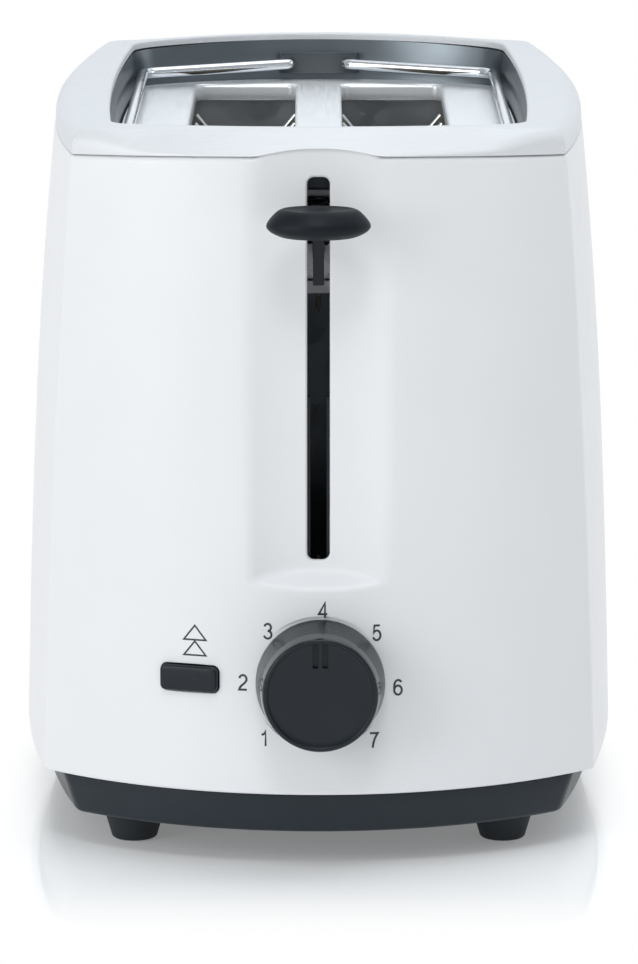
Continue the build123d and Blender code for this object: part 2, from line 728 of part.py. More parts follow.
# Lever knob: oval plastic grip with a dished top.
with BuildPart() as lever_knob:
    for z, rx, ry, yc in (
        (173.4, 9.0, 6.5, -139.0),
        (174.6, 12.1, 8.8, -139.2),
        (176.4, 13.7, 9.8, -139.2),
        (178.0, 13.2, 9.5, -139.2),
        (179.7, 11.6, 8.3, -139.2),
        (180.9, 9.9, 6.9, -139.2),
    ):
        with BuildSketch(level(z)):
            with Locations((0, yc)):
                Ellipse(rx, ry)
    loft()
    with BuildSketch(along(0)):
        with BuildLine():
            ThreePointArc((-146.2, 181.2), (-139.2, 180.1), (-132.2, 181.2))
            Line((-132.2, 181.2), (-146.2, 181.2))
        make_face()
    extrude(amount=9.6, both=True, mode=Mode.SUBTRACT)
    with BuildSketch(along(0)):
        with Locations((-134.5, 176.7)):
            Rectangle(13.1, 3.84)
    extrude(amount=1.52, both=True, mode=Mode.SUBTRACT)
lever_knob.part.label = "lever_knob"
export_step(lever_knob.part, "parts/lever_knob.step")

# Armature: soft iron plate under the carriage, held by a stud.
with BuildPart() as armature:
    with BuildSketch(level(147.5)):
        with Locations((0, -62)):
            Rectangle(15, 9)
    extrude(amount=3.4)
    with BuildSketch(level(150.8)):
        with Locations((0, -61)):
            Circle(1.8)
    extrude(amount=2.1)
armature.part.label = "armature"
export_step(armature.part, "parts/armature.step")

# Electromagnet below it.
with BuildPart() as electromagnet_core:
    with BuildSketch(level(32.0)):
        with Locations((0, -58.7)):
            Rectangle(18, 18.6)
    extrude(amount=2.5)
    with BuildSketch(level(34.5)):
        with Locations((0, -62)):
            Rectangle(6, 6)
    extrude(amount=27.2)
    with BuildSketch(facing(-50.8)):
        with Locations((0, 38.5)):
            Rectangle(18, 8)
    extrude(amount=-1.4)
electromagnet_core.part.label = "electromagnet_core"
export_step(electromagnet_core.part, "parts/electromagnet_core.step")

with BuildPart() as electromagnet_coil:
    with BuildSketch(level(36.0)):
        with Locations((0, -62)):
            RectangleRounded(15.6, 15.6, 4)
            Rectangle(6.1, 6.1, mode=Mode.SUBTRACT)
    extrude(amount=21)
    with BuildSketch(level(35.0)):
        with Locations((0, -62)):
            RectangleRounded(16.4, 16.4, 2)
            Rectangle(6.1, 6.1, mode=Mode.SUBTRACT)
    extrude(amount=1.0)
    with BuildSketch(level(57.0)):
        with Locations((0, -62)):
            RectangleRounded(16.4, 16.4, 2)
            Rectangle(6.1, 6.1, mode=Mode.SUBTRACT)
    extrude(amount=1.0)

electromagnet_coil.part.label = "electromagnet_coil"
export_step(electromagnet_coil.part, "parts/electromagnet_coil.step")

# Return spring: hangs from the upper bracket's tongue and pulls the lever arm up.
SPRING_Y, SPRING_R, SPRING_WIRE = -101.0, 3.0, 0.45
with BuildPart() as return_spring:
    with BuildLine() as coil_line:
        Helix(pitch=1.7, height=13.6, radius=SPRING_R, center=(0, BODY_Y + SPRING_Y, 165.8))
    with BuildSketch(Plane(origin=coil_line.line @ 0, z_dir=coil_line.line % 0)):
        Circle(SPRING_WIRE)
    sweep(is_frenet=True)
return_spring.part.label = "return_spring"
export_step(return_spring.part, "parts/return_spring.step")

# Bread lifters: necked strips that pass through the chassis plate.
for label, side in (("bread_lifter_left", -1), ("bread_lifter_right", 1)):
    with BuildPart() as lifter:
        with BuildSketch(along(side * SLOT_X - 0.6)):
            with Locations((22.5, LIFTER_Z - 3.5)):
                Rectangle(149, 7)
            with Locations((27.5, LIFTER_Z - 3.5)):
                with GridLocations(28, 1, 5, 1):
                    SlotOverall(18, 2.4, mode=Mode.SUBTRACT)
        extrude(amount=1.2)
        with BuildSketch(level(LIFTER_Z - 0.8)):
            with Locations((side * SLOT_X, 30)):
                RectangleRounded(13, 132, 3)
        extrude(amount=0.8)
        with BuildSketch(facing(-50.4)):
            with Locations((side * SLOT_X, LIFTER_Z - 3.5)):
                Rectangle(5.6, 7)
        extrude(amount=4.1)
    lifter.part.label = label
    export_step(lifter.part, "parts/" + label + ".step")

# Finger guard behind the lever slot: two ribs with a gap for the arm.
with BuildPart() as slot_guard:
    with BuildSketch(facing(-121.9)):
        with Locations((-5.6, 104), (5.6, 104)):
            Rectangle(6.8, 48)
        with Locations((0, 79.2)):
            Rectangle(18, 4.0)
    extrude(amount=-2.2)
    with BuildSketch(facing(-119.7)):
        with Locations((-7.6, 104), (7.6, 104)):
            Rectangle(2.8, 48)
    extrude(amount=-14)
slot_guard.part.label = "slot_guard"
export_step(slot_guard.part, "parts/slot_guard.step")

# ------------------------------------------------------------------ controls
PCB_Y = -103.8
with BuildPart() as control_board:
    with BuildSketch(facing(PCB_Y)):
        with Locations((-15, 46)):
            RectangleRounded(68, 36, 1.5)
        with Locations((KNOB_X, KNOB_Z)):
            Circle(2.2, mode=Mode.SUBTRACT)
    extrude(amount=-1.6)
control_board.part.label = "control_board"
export_step(control_board.part, "parts/control_board.step")

with BuildPart() as board_bracket:
    with BuildSketch(facing(PCB_Y + 1.7)):
        with Locations((-15, 24)):
            Rectangle(60, 22)
    extrude(amount=-1.5)
    with BuildSketch(level(12.4)):
        with Locations((-15, PCB_Y + 8)):
            Rectangle(60, 12)
    extrude(amount=1.5)
board_bracket.part.label = "board_bracket"
export_step(board_bracket.part, "parts/board_bracket.step")

# Relay, capacitors, diode and eject switch on the board's front.
with BuildPart() as board_components:
    with BuildSketch(facing(PCB_Y)):
        with Locations((-19, 38)):
            Rectangle(13, 10)
    extrude(amount=9)
    with BuildSketch(facing(PCB_Y)):
        with Locations((-34, 36)):
            Circle(4.0)
        with Locations((12, 35)):
            Circle(2.5)
    extrude(amount=8)
    with BuildSketch(facing(PCB_Y)):
        with Locations((BUTTON_X + 4.6, BUTTON_Z)):
            Rectangle(7, 7)
    extrude(amount=3.6)
    with BuildSketch(facing(PCB_Y)):
        with Locations((-16, 58), (-16, 53)):
            Rectangle(8, 2.2)
    extrude(amount=2.2)
board_components.part.label = "board_components"
export_step(board_components.part, "parts/board_components.step")

with BuildPart() as potentiometer:
    with BuildSketch(facing(PCB_Y)):
        with Locations((KNOB_X, KNOB_Z)):
            Circle(8.5)
    extrude(amount=7)
    with BuildSketch(facing(PCB_Y - 7)):
        with Locations((KNOB_X, KNOB_Z)):
            Circle(4.4)
    extrude(amount=5)
    with BuildSketch(facing(PCB_Y - 2)):
        with Locations((KNOB_X, KNOB_Z)):
            Circle(3.0 + RUN)
    extrude(amount=20, mode=Mode.SUBTRACT)
potentiometer.part.label = "potentiometer"
export_step(potentiometer.part, "parts/potentiometer.step")

with BuildPart() as control_shaft:
    with BuildSketch(facing(PCB_Y - 2.4)):
        with Locations((KNOB_X, KNOB_Z)):
            Circle(3.0)
    extrude(amount=34)
    with BuildSketch(facing(-124)):
        with Locations((KNOB_X, KNOB_Z + 4.5)):
            Rectangle(8, 6)
    extrude(amount=30, mode=Mode.SUBTRACT)
control_shaft.part.label = "control_shaft"
export_step(control_shaft.part, "parts/control_shaft.step")

# Browning knob: tapered cap, raised outer lip, sunk disc, pointer notch.
with BuildPart() as browning_knob:
    with BuildSketch(along(KNOB_X)):
        with BuildLine():
            Polyline((-129.6, KNOB_Z), (-129.6, KNOB_Z + 17.3), (-131.0, KNOB_Z + 17.3),
                     (-144.7, KNOB_Z + 15.4))
            ThreePointArc((-144.7, KNOB_Z + 15.4), (-145.3, KNOB_Z + 15.15), (-145.6, KNOB_Z + 14.6))
            Polyline((-145.6, KNOB_Z + 14.6), (-145.6, KNOB_Z + 14.1), (-144.9, KNOB_Z + 13.6),
                     (-145.1, KNOB_Z), (-129.6, KNOB_Z))
        make_face()
    revolve(axis=Axis((KNOB_X, 0, KNOB_Z), (0, 1, 0)))
    with BuildSketch(facing(-129.6)):
        with Locations((KNOB_X, KNOB_Z)):
            Circle(14.6)
    extrude(amount=12.5, mode=Mode.SUBTRACT)
    with BuildSketch(facing(-122.5)):
        with Locations((KNOB_X, KNOB_Z)):
            Circle(5.2)
    extrude(amount=20.5)
    with BuildSketch(facing(PCB_Y - 2.4)):
        with Locations((KNOB_X, KNOB_Z)):
            Circle(3.0)
    extrude(amount=34, mode=Mode.SUBTRACT)
    with BuildSketch(facing(-124)):
        with Locations((KNOB_X, KNOB_Z + 2.5)):
            Rectangle(5.6, 2.0)
    extrude(amount=14)
    # pointer notch with a ridge
    with BuildSketch(facing(-144.3)):
        with Locations((KNOB_X, KNOB_Z + 10.0)):
            RectangleRounded(4.4, 6.6, 0.9)
        with Locations((KNOB_X, KNOB_Z + 10.0)):
            Rectangle(0.9, 7, mode=Mode.SUBTRACT)
    extrude(amount=4, mode=Mode.SUBTRACT)
browning_knob.part.label = "browning_knob"
export_step(browning_knob.part, "parts/browning_knob.step")

# Eject button: rounded cap square to the panel, with a stem to the switch.
with BuildPart() as eject_button:
    with BuildSketch(BUTTON_PLANE.offset(-3.3)):
        RectangleRounded(BUTTON_W, BUTTON_H, 1.5)
    extrude(amount=4.8)
    fillet(eject_button.faces().sort_by(Axis(BUTTON_PLANE.origin, BUTTON_PLANE.z_dir))[-1].edges(), 0.7)
    with BuildSketch(BUTTON_PLANE.offset(-4.2)):
        RectangleRounded(BUTTON_W + 2.6, BUTTON_H + 2.6, 1.8)
    extrude(amount=1.0)
    with BuildSketch(BUTTON_PLANE.offset(-14.5)):
        Rectangle(4, 3)
    extrude(amount=11)
eject_button.part.label = "eject_button"
export_step(eject_button.part, "parts/eject_button.step")

# ------------------------------------------------------------------ bun rack
BRACKET_Y0, BRACKET_Y1 = 112.2, 114.9
for label, side in (("rack_bracket_front", -1), ("rack_bracket_back", 1)):
    with BuildPart() as pivot:
        with BuildSketch(level(188.0)):
            with Locations((0, side * (BRACKET_Y0 + BRACKET_Y1) / 2)):
                RectangleRounded(24.0, BRACKET_Y1 - BRACKET_Y0, 0.8)
        extrude(amount=6.2)
        with BuildSketch(facing(side * 113)):
            with Locations((-RACK_PIVOT_X, RACK_Z), (RACK_PIVOT_X, RACK_Z)):
                Circle(RACK_WIRE + RUN)
        extrude(amount=10, both=True, mode=Mode.SUBTRACT)
    pivot.part.label = label
    export_step(pivot.part, "parts/" + label + ".step")

for label, side in (("bun_rack_left", -1), ("bun_rack_right", 1)):
    with BuildPart() as rack:
        with BuildLine() as wire:
            px, cx = side * RACK_PIVOT_X, side * 52.8
            FilletPolyline(
                (px, BODY_Y + 114.7, RACK_Z), (px, BODY_Y + 110.4, RACK_Z), (cx, BODY_Y + 91.0, RACK_Z - 0.6),
                (cx, BODY_Y - 91.0, RACK_Z - 0.6), (px, BODY_Y - 110.4, RACK_Z), (px, BODY_Y - 114.7, RACK_Z),
                radius=[2.6, 6.5, 6.5, 2.6],
            )
        with BuildSketch(Plane(origin=wire.line @ 0, z_dir=wire.line % 0)):
            Circle(RACK_WIRE)
        sweep()
    rack.part.label = label
    export_step(rack.part, "parts/" + label + ".step")
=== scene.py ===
import math
import bpy
import bmesh
import numpy as np
from mathutils import Vector, Matrix, Euler


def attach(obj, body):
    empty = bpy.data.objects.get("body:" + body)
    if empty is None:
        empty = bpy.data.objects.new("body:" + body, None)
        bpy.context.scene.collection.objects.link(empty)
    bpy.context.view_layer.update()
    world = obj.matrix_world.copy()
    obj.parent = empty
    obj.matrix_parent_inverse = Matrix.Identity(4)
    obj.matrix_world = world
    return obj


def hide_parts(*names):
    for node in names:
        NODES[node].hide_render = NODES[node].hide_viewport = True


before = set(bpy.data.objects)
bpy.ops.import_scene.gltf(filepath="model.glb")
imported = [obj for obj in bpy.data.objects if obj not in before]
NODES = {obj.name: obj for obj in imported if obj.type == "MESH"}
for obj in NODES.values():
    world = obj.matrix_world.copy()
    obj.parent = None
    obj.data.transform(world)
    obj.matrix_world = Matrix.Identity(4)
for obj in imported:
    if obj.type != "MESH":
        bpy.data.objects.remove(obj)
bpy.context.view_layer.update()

# Shapes below are in millimetres with Y measured from the middle of the casing;
# to_metres() moves them into the row frame.
BODY_Y = 8.25


def to_metres(points):
    p = np.asarray(points, float).reshape(-1, 3)
    return np.column_stack([p[:, 0], p[:, 1] + BODY_Y, p[:, 2]]) / 1000.0


# ------------------------------------------------------------------ camera
cam_data = bpy.data.cameras.new("view_camera")
camera = bpy.data.objects.new("view_camera", cam_data)
bpy.context.scene.collection.objects.link(camera)
cam_data.sensor_width = 36.0
cam_data.lens = 206.93
cam_data.clip_start, cam_data.clip_end = 0.05, 60.0
cam_data.dof.use_dof = False
cam_data.shift_x = 0.5 / 964.0
camera.location = (0.0, -1.56769, 0.37975)
camera.rotation_euler = (math.radians(79.3), 0.0, 0.0)
bpy.context.scene.camera = camera


# ------------------------------------------------------------------ materials
def new_material(name):
    m = bpy.data.materials.new(name)
    m.use_nodes = True
    nt = m.node_tree
    nt.nodes.clear()
    out = nt.nodes.new("ShaderNodeOutputMaterial")
    bsdf = nt.nodes.new("ShaderNodeBsdfPrincipled")
    nt.links.new(bsdf.outputs[0], out.inputs[0])
    return m, nt, bsdf


def node(nt, kind, **values):
    n = nt.nodes.new(kind)
    for k, v in values.items():
        if k in n.inputs:
            n.inputs[k].default_value = v
        else:
            setattr(n, k, v)
    return n


def coords(nt, scale=(1, 1, 1)):
    tc = nt.nodes.new("ShaderNodeTexCoord")
    mp = nt.nodes.new("ShaderNodeMapping")
    mp.inputs["Scale"].default_value = scale
    nt.links.new(tc.outputs["Object"], mp.inputs["Vector"])
    return mp.outputs["Vector"]


def noise(nt, vec, scale, detail=3.0, rough=0.5, distortion=0.0):
    n = node(nt, "ShaderNodeTexNoise")
    n.inputs["Scale"].default_value = scale
    n.inputs["Detail"].default_value = detail
    n.inputs["Roughness"].default_value = rough
    n.inputs["Distortion"].default_value = distortion
    nt.links.new(vec, n.inputs["Vector"])
    return n.outputs["Fac"]


def remap(nt, value, lo, hi, a=0.3, b=0.7):
    n = node(nt, "ShaderNodeMapRange")
    n.inputs["From Min"].default_value = a
    n.inputs["From Max"].default_value = b
    n.inputs["To Min"].default_value = lo
    n.inputs["To Max"].default_value = hi
    nt.links.new(value, n.inputs["Value"])
    return n.outputs["Result"]


def ramp(nt, value, stops):
    n = nt.nodes.new("ShaderNodeValToRGB")
    e = n.color_ramp.elements
    while len(e) < len(stops):
        e.new(0.5)
    for item, (pos, col) in zip(e, stops):
        item.position = pos
        item.color = (*col, 1.0)
    nt.links.new(value, n.inputs["Fac"])
    return n.outputs["Color"]


def bump(nt, bsdf, height, strength, distance=0.0001):
    b = nt.nodes.new("ShaderNodeBump")
    b.inputs["Strength"].default_value = strength
    b.inputs["Distance"].default_value = distance
    nt.links.new(height, b.inputs["Height"])
    nt.links.new(b.outputs["Normal"], bsdf.inputs["Normal"])
    return b


def shade(c, k):
    return tuple(min(1.0, x * k) for x in c)


def plastic(name, color, rough, spread=0.05, tone=0.04, grain=2600.0, grain_strength=0.05,
            specular=0.5, coat=0.0, coat_rough=0.1):
    """Moulded plastic: fine spark-eroded grain, faint cloudy tone, slightly uneven gloss."""
    m, nt, bsdf = new_material(name)
    v = coords(nt)
    cloud = noise(nt, v, 38.0, 4.0, 0.55)
    nt.links.new(ramp(nt, cloud, [(0.3, shade(color, 1 - tone)), (0.7, shade(color, 1 + tone * 0.5))]), bsdf.inputs["Base Color"])
    fine = noise(nt, v, grain, 2.0, 0.5)
    patch = noise(nt, v, 120.0, 3.0, 0.5)
    nt.links.new(remap(nt, patch, rough - spread, rough + spread), bsdf.inputs["Roughness"])
    bump(nt, bsdf, fine, grain_strength)
    bsdf.inputs["Specular IOR Level"].default_value = specular
    bsdf.inputs["Coat Weight"].default_value = coat
    bsdf.inputs["Coat Roughness"].default_value = coat_rough
    return m


def brushed(name, color, rough, stretch, tone=0.10, lines=900.0, strength=0.12, metallic=1.0, aniso=0.0, cloud_tone=0.05):
    """Brushed sheet: long fine lines along the axis that stretch shrinks."""
    m, nt, bsdf = new_material(name)
    v = coords(nt, stretch)
    streak = noise(nt, v, lines, 3.0, 0.6)
    v2 = coords(nt)
    cloud = noise(nt, v2, 30.0, 4.0, 0.55)
    mix = node(nt, "ShaderNodeMath", operation="MULTIPLY_ADD")
    nt.links.new(streak, mix.inputs[0])
    mix.inputs[1].default_value = 0.7
    half = node(nt, "ShaderNodeMath", operation="MULTIPLY")
    nt.links.new(cloud, half.inputs[0])
    half.inputs[1].default_value = 0.3
    nt.links.new(half.outputs[0], mix.inputs[2])
    nt.links.new(ramp(nt, mix.outputs[0], [(0.3, shade(color, 1 - tone)), (0.7, shade(color, 1 + cloud_tone))]), bsdf.inputs["Base Color"])
    nt.links.new(remap(nt, streak, rough - 0.06, rough + 0.08), bsdf.inputs["Roughness"])
    bsdf.inputs["Metallic"].default_value = metallic
    bsdf.inputs["Anisotropic"].default_value = aniso
    bump(nt, bsdf, streak, strength, 0.00005)
    return m


def metal(name, color, rough, tone=0.06, scale=90.0, spangle=0.0, strength=0.03):
    m, nt, bsdf = new_material(name)
    v = coords(nt)
    cloud = noise(nt, v, scale, 4.0, 0.55)
    value = cloud
    if spangle:
        vor = node(nt, "ShaderNodeTexVoronoi")
        vor.inputs["Scale"].default_value = spangle
        nt.links.new(v, vor.inputs["Vector"])
        mix = node(nt, "ShaderNodeMix", data_type="FLOAT")
        mix.inputs["Factor"].default_value = 0.45
        nt.links.new(cloud, mix.inputs["A"])
        sep = nt.nodes.new("ShaderNodeSeparateColor")
        nt.links.new(vor.outputs["Color"], sep.inputs[0])
        nt.links.new(sep.outputs[0], mix.inputs["B"])
        value = mix.outputs["Result"]
    nt.links.new(ramp(nt, value, [(0.25, shade(color, 1 - tone)), (0.75, shade(color, 1 + tone * 0.6))]), bsdf.inputs["Base Color"])
    nt.links.new(remap(nt, value, max(0.02, rough - 0.04), rough + 0.06), bsdf.inputs["Roughness"])
    bsdf.inputs["Metallic"].default_value = 1.0
    bump(nt, bsdf, noise(nt, v, 1500.0, 2.0), strength)
    return m


def mica_material():
    m, nt, bsdf = new_material("mica_sheet")
    v = coords(nt, (1, 1, 1))
    flakes = node(nt, "ShaderNodeTexVoronoi")
    flakes.inputs["Scale"].default_value = 420.0
    nt.links.new(v, flakes.inputs["Vector"])
    sep = nt.nodes.new("ShaderNodeSeparateColor")
    nt.links.new(flakes.outputs["Color"], sep.inputs[0])
    nt.links.new(ramp(nt, sep.outputs[0], [(0.0, (0.42, 0.35, 0.24)), (0.6, (0.60, 0.52, 0.38)), (1.0, (0.74, 0.67, 0.52))]), bsdf.inputs["Base Color"])
    nt.links.new(remap(nt, sep.outputs[0], 0.25, 0.5, 0, 1), bsdf.inputs["Roughness"])
    bump(nt, bsdf, flakes.outputs["Distance"], 0.15)
    return m


def board_material():
    m, nt, bsdf = new_material("board_green")
    v = coords(nt, (1, 1, 1))
    tracks = node(nt, "ShaderNodeTexBrick")
    tracks.inputs["Scale"].default_value = 160.0
    tracks.inputs["Color1"].default_value = (0.03, 0.16, 0.07, 1)
    tracks.inputs["Color2"].default_value = (0.04, 0.20, 0.09, 1)
    tracks.inputs["Mortar"].default_value = (0.09, 0.30, 0.13, 1)
    tracks.inputs["Mortar Size"].default_value = 0.04
    nt.links.new(v, tracks.inputs["Vector"])
    nt.links.new(tracks.outputs["Color"], bsdf.inputs["Base Color"])
    bsdf.inputs["Roughness"].default_value = 0.35
    bump(nt, bsdf, tracks.outputs["Fac"], 0.2)
    return m


def copper_material():
    m, nt, bsdf = new_material("copper_wire")
    v = coords(nt)
    wave = node(nt, "ShaderNodeTexWave", bands_direction="Z")
    wave.inputs["Scale"].default_value = 900.0
    wave.inputs["Distortion"].default_value = 0.4
    nt.links.new(v, wave.inputs["Vector"])
    nt.links.new(ramp(nt, wave.outputs["Fac"], [(0.1, (0.16, 0.05, 0.02)), (0.7, (0.62, 0.24, 0.09))]), bsdf.inputs["Base Color"])
    bsdf.inputs["Metallic"].default_value = 0.8
    bsdf.inputs["Roughness"].default_value = 0.32
    bump(nt, bsdf, wave.outputs["Fac"], 0.6)
    return m


def ribbon_material():
    m, nt, bsdf = new_material("heater_strip")
    v = coords(nt)
    n = noise(nt, v, 300.0, 4.0, 0.6)
    nt.links.new(ramp(nt, n, [(0.3, (0.10, 0.09, 0.09)), (0.6, (0.26, 0.23, 0.21)), (0.8, (0.20, 0.20, 0.26))]), bsdf.inputs["Base Color"])
    bsdf.inputs["Metallic"].default_value = 0.9
    nt.links.new(remap(nt, n, 0.3, 0.55), bsdf.inputs["Roughness"])
    return m


ANTHRACITE = (0.013, 0.020, 0.027)
MAT = {
    "white_plastic": plastic("white_shell", (0.75, 0.765, 0.785), 0.36, 0.03, 0.012, 2400.0, 0.03, 0.4),
    "satin_silver": brushed("satin_silver_rim", (0.70, 0.725, 0.75), 0.56, (0.04, 1.0, 1.0), 0.05, 1300.0, 0.06, 0.32, 0.0, 0.03),
    "polished_steel": metal("polished_wall", (0.165, 0.19, 0.21), 0.33, 0.10, 40.0),
    "brushed_steel": brushed("brushed_top", (0.88, 0.91, 0.935), 0.34, (1.0, 0.03, 1.0), 0.03, 1500.0, 0.012, 0.55, 0.0, 0.03),
    "anthracite_plastic": plastic("anthracite_base", ANTHRACITE, 0.42, 0.05, 0.12, 2000.0, 0.08, 0.27),
    "black_plastic": plastic("dark_controls", (0.009, 0.014, 0.019), 0.30, 0.04, 0.12, 2200.0, 0.05, 0.28),
    "rubber": plastic("foot_rubber", (0.022, 0.028, 0.034), 0.62, 0.06, 0.2, 1500.0, 0.25, 0.3),
    "zinc_steel": metal("zinc_plate", (0.52, 0.54, 0.57), 0.30, 0.12, 120.0, 260.0),
    "aluminised_steel": metal("heat_sheet", (0.46, 0.49, 0.52), 0.34, 0.14, 60.0, 140.0),
    "mica": mica_material(),
    "heater_ribbon": ribbon_material(),
    "bright_wire": metal("bright_rod", (0.80, 0.82, 0.85), 0.12, 0.05, 200.0),
    "copper_winding": copper_material(),
    "circuit_board": board_material(),
    "bracket_gloss": plastic("rack_bracket", (0.060, 0.070, 0.078), 0.16, 0.03, 0.10, 1800.0, 0.02, 0.8),
    # darker copy of the heat-sheet metal: painted shade for the dark seen through the lever slot
    "painted_shade_sheet": metal("heat_sheet_painted_shade", (0.15, 0.17, 0.19), 0.38, 0.14, 60.0, 140.0),
    "black_steel": metal("black_oxide", (0.035, 0.038, 0.042), 0.30, 0.15, 150.0),
    "component_black": plastic("moulded_black", (0.02, 0.021, 0.024), 0.45, 0.05, 0.2, 1800.0, 0.15),
}
INK = plastic("printed_ink", (0.03, 0.036, 0.042), 0.5, 0.05, 0.15, 3000.0, 0.05)


# ------------------------------------------------------------------ mesh tools
def make(name, points, faces, body, slot, replaced=(), material=None, sharp=32.0, cutters=()):
    me = bpy.data.meshes.new(name)
    me.from_pydata(to_metres(points).tolist(), [], [tuple(int(i) for i in f) for f in faces])
    me.update()
    bm = bmesh.new()
    bm.from_mesh(me)
    bmesh.ops.remove_doubles(bm, verts=bm.verts, dist=1e-6)
    bmesh.ops.recalc_face_normals(bm, faces=bm.faces)
    bm.to_mesh(me)
    bm.free()
    ob = bpy.data.objects.new(name, me)
    bpy.context.scene.collection.objects.link(ob)
    if cutters:
        subtract(ob, cutters)
    smooth(ob, sharp)
    ob.data.materials.append(material or MAT[slot])
    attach(ob, body)
    if replaced:
        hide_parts(*replaced)
    return ob


def smooth(ob, sharp=32.0):
    me = ob.data
    me.polygons.foreach_set("use_smooth", [True] * len(me.polygons))
    me.set_sharp_from_angle(angle=math.radians(sharp))
    me.update()


def raw(name, points, faces):
    """A closed helper mesh used only as a cutter."""
    me = bpy.data.meshes.new(name)
    me.from_pydata(to_metres(points).tolist(), [], [tuple(int(i) for i in f) for f in faces])
    bm = bmesh.new()
    bm.from_mesh(me)
    bmesh.ops.recalc_face_normals(bm, faces=bm.faces)
    bm.to_mesh(me)
    bm.free()
    ob = bpy.data.objects.new(name, me)
    bpy.context.scene.collection.objects.link(ob)
    return ob


def subtract(ob, cutters):
    for c in cutters:
        m = ob.modifiers.new("cut", "BOOLEAN")
        m.operation = "DIFFERENCE"
        m.solver = "EXACT"
        m.object = c
    bpy.context.view_layer.update()
    dg = bpy.context.evaluated_depsgraph_get()
    done = bpy.data.meshes.new_from_object(ob.evaluated_get(dg))
    ob.modifiers.clear()
    ob.data = done
    for c in cutters:
        bpy.data.objects.remove(c)


def strip(a, b, wrap=True):
    """Quads between two matched lists of vertex numbers."""
    n = len(a)
    out = []
    for i in range(n if wrap else n - 1):
        j = (i + 1) % n
        out.append((a[i], a[j], b[j], b[i]))
    return out


def loft(loops, close=False, cap=True):
    """Quads through matched closed loops; close joins the last to the first, cap fills both ends."""
    n = len(loops[0])
    points = np.vstack(loops)
    ids = [list(range(k * n, (k + 1) * n)) for k in range(len(loops))]
    faces = []
    for a, b in zip(ids[:-1], ids[1:]):
        faces += strip(a, b)
    if close:
        faces += strip(ids[-1], ids[0])
    elif cap:
        faces += [tuple(ids[0]), tuple(reversed(ids[-1]))]
    return points, faces


def grid_solid(outer, inner):
    """Closed plate from two matched grids of points, rows x columns x 3."""
    r, c, _ = outer.shape
    points = np.vstack([outer.reshape(-1, 3), inner.reshape(-1, 3)])
    o = np.arange(r * c).reshape(r, c)
    i = o + r * c
    faces = []
    for g in (o, i):
        a, b, cc, d = g[:-1, :-1].ravel(), g[:-1, 1:].ravel(), g[1:, 1:].ravel(), g[1:, :-1].ravel()
        faces += list(zip(a, b, cc, d))
    for e, f in ((o[0], i[0]), (o[-1], i[-1]), (o[:, 0], i[:, 0]), (o[:, -1], i[:, -1])):
        faces += strip(list(e), list(f), wrap=False)
    return points, faces


def cubic(xs, ys):
    xs, ys = np.array(xs, float), np.array(ys, float)
    n = len(xs)
    h = np.diff(xs)
    a, b = np.eye(n), np.zeros(n)
    for i in range(1, n - 1):
        a[i, i - 1], a[i, i], a[i, i + 1] = h[i - 1], 2 * (h[i - 1] + h[i]), h[i]
        b[i] = 3 * ((ys[i + 1] - ys[i]) / h[i] - (ys[i] - ys[i - 1]) / h[i - 1])
    c = np.linalg.solve(a, b)
    d = np.diff(c) / (3 * h)
    s = np.diff(ys) / h - h * (2 * c[:-1] + c[1:]) / 3

    def f(x):
        x = np.asarray(x, float)
        i = np.clip(np.searchsorted(xs, x) - 1, 0, n - 2)
        t = x - xs[i]
        return ys[i] + s[i] * t + c[i] * t * t + d[i] * t ** 3
    return f


def smin(a, b, k):
    h = np.clip(0.5 + 0.5 * (b - a) / k, 0, 1)
    return b * (1 - h) + a * h - k * h * (1 - h)


def smax(a, b, k):
    return -smin(-a, -b, k)


def step(x, a, b):
    t = np.clip((x - a) / (b - a), 0, 1)
    return t * t * (3 - 2 * t)


# ------------------------------------------------------------------ casing shape
LEVELS = [
    (20.9, 83.6, 75.35, 130.4), (50.0, 82.85, 74.4, 130.1), (80.0, 81.9, 73.1, 129.6),
    (110.0, 80.6, 71.65, 129.0), (140.0, 78.85, 69.95, 128.3), (170.0, 76.5, 68.0, 127.4),
    (195.0, 74.15, 65.9, 126.5),
]
ZL = [v[0] for v in LEVELS]
side_at = cubic(ZL, [v[1] for v in LEVELS])
corner_at = cubic(ZL, [v[2] for v in LEVELS])
end_at = cubic(ZL, [v[3] for v in LEVELS])
BOW, CROWN, PANEL_TOP, CREST, WALL = 108.0, 1050.0, 192.8, 200.0, 2.4
CHANNEL = 18.2


def drop(x):
    return CROWN - np.sqrt(CROWN ** 2 - np.asarray(x, float) ** 2)


def bow_y(x, z):
    """How far the front or rear wall stands from the middle, as a positive number."""
    return end_at(z) - (BOW - np.sqrt(BOW ** 2 - np.asarray(x, float) ** 2))


def channel_half(z):
    return CHANNEL - 2.0 * step(z, 180.0, 193.5)


def front_y(x, z):
    """Outer face of the front panel: bowed wall with the scooped lever channel."""
    t = (z - 76.0) / 129.0
    centre, edge = -125.1 + t, -128.12 + 3.37 * t
    scoop = centre + 0.5 + (edge - centre - 0.5) * (np.abs(x) / channel_half(z)) ** 2.2
    slope = -128.6 + (z - 78.0) * 1.0 - 0.6 * (np.abs(x) / 18.0) ** 4
    return smax(-bow_y(x, z), smin(scoop, slope, 1.4), 1.1)


def arch(x):
    """Height that the channel adds to the panel's top edge."""
    t = np.clip(1 - (np.abs(x) / 16.6) ** 2.2, 0, 1)
    return 2.0 * t


def panel_top(x):
    return PANEL_TOP - drop(x) + arch(x)


def roll(dist, r):
    """Set-back of a surface at a distance from an edge rounded to r."""
    d = np.clip(r - dist, 0, r)
    return r - np.sqrt(np.maximum(r * r - d * d, 0))


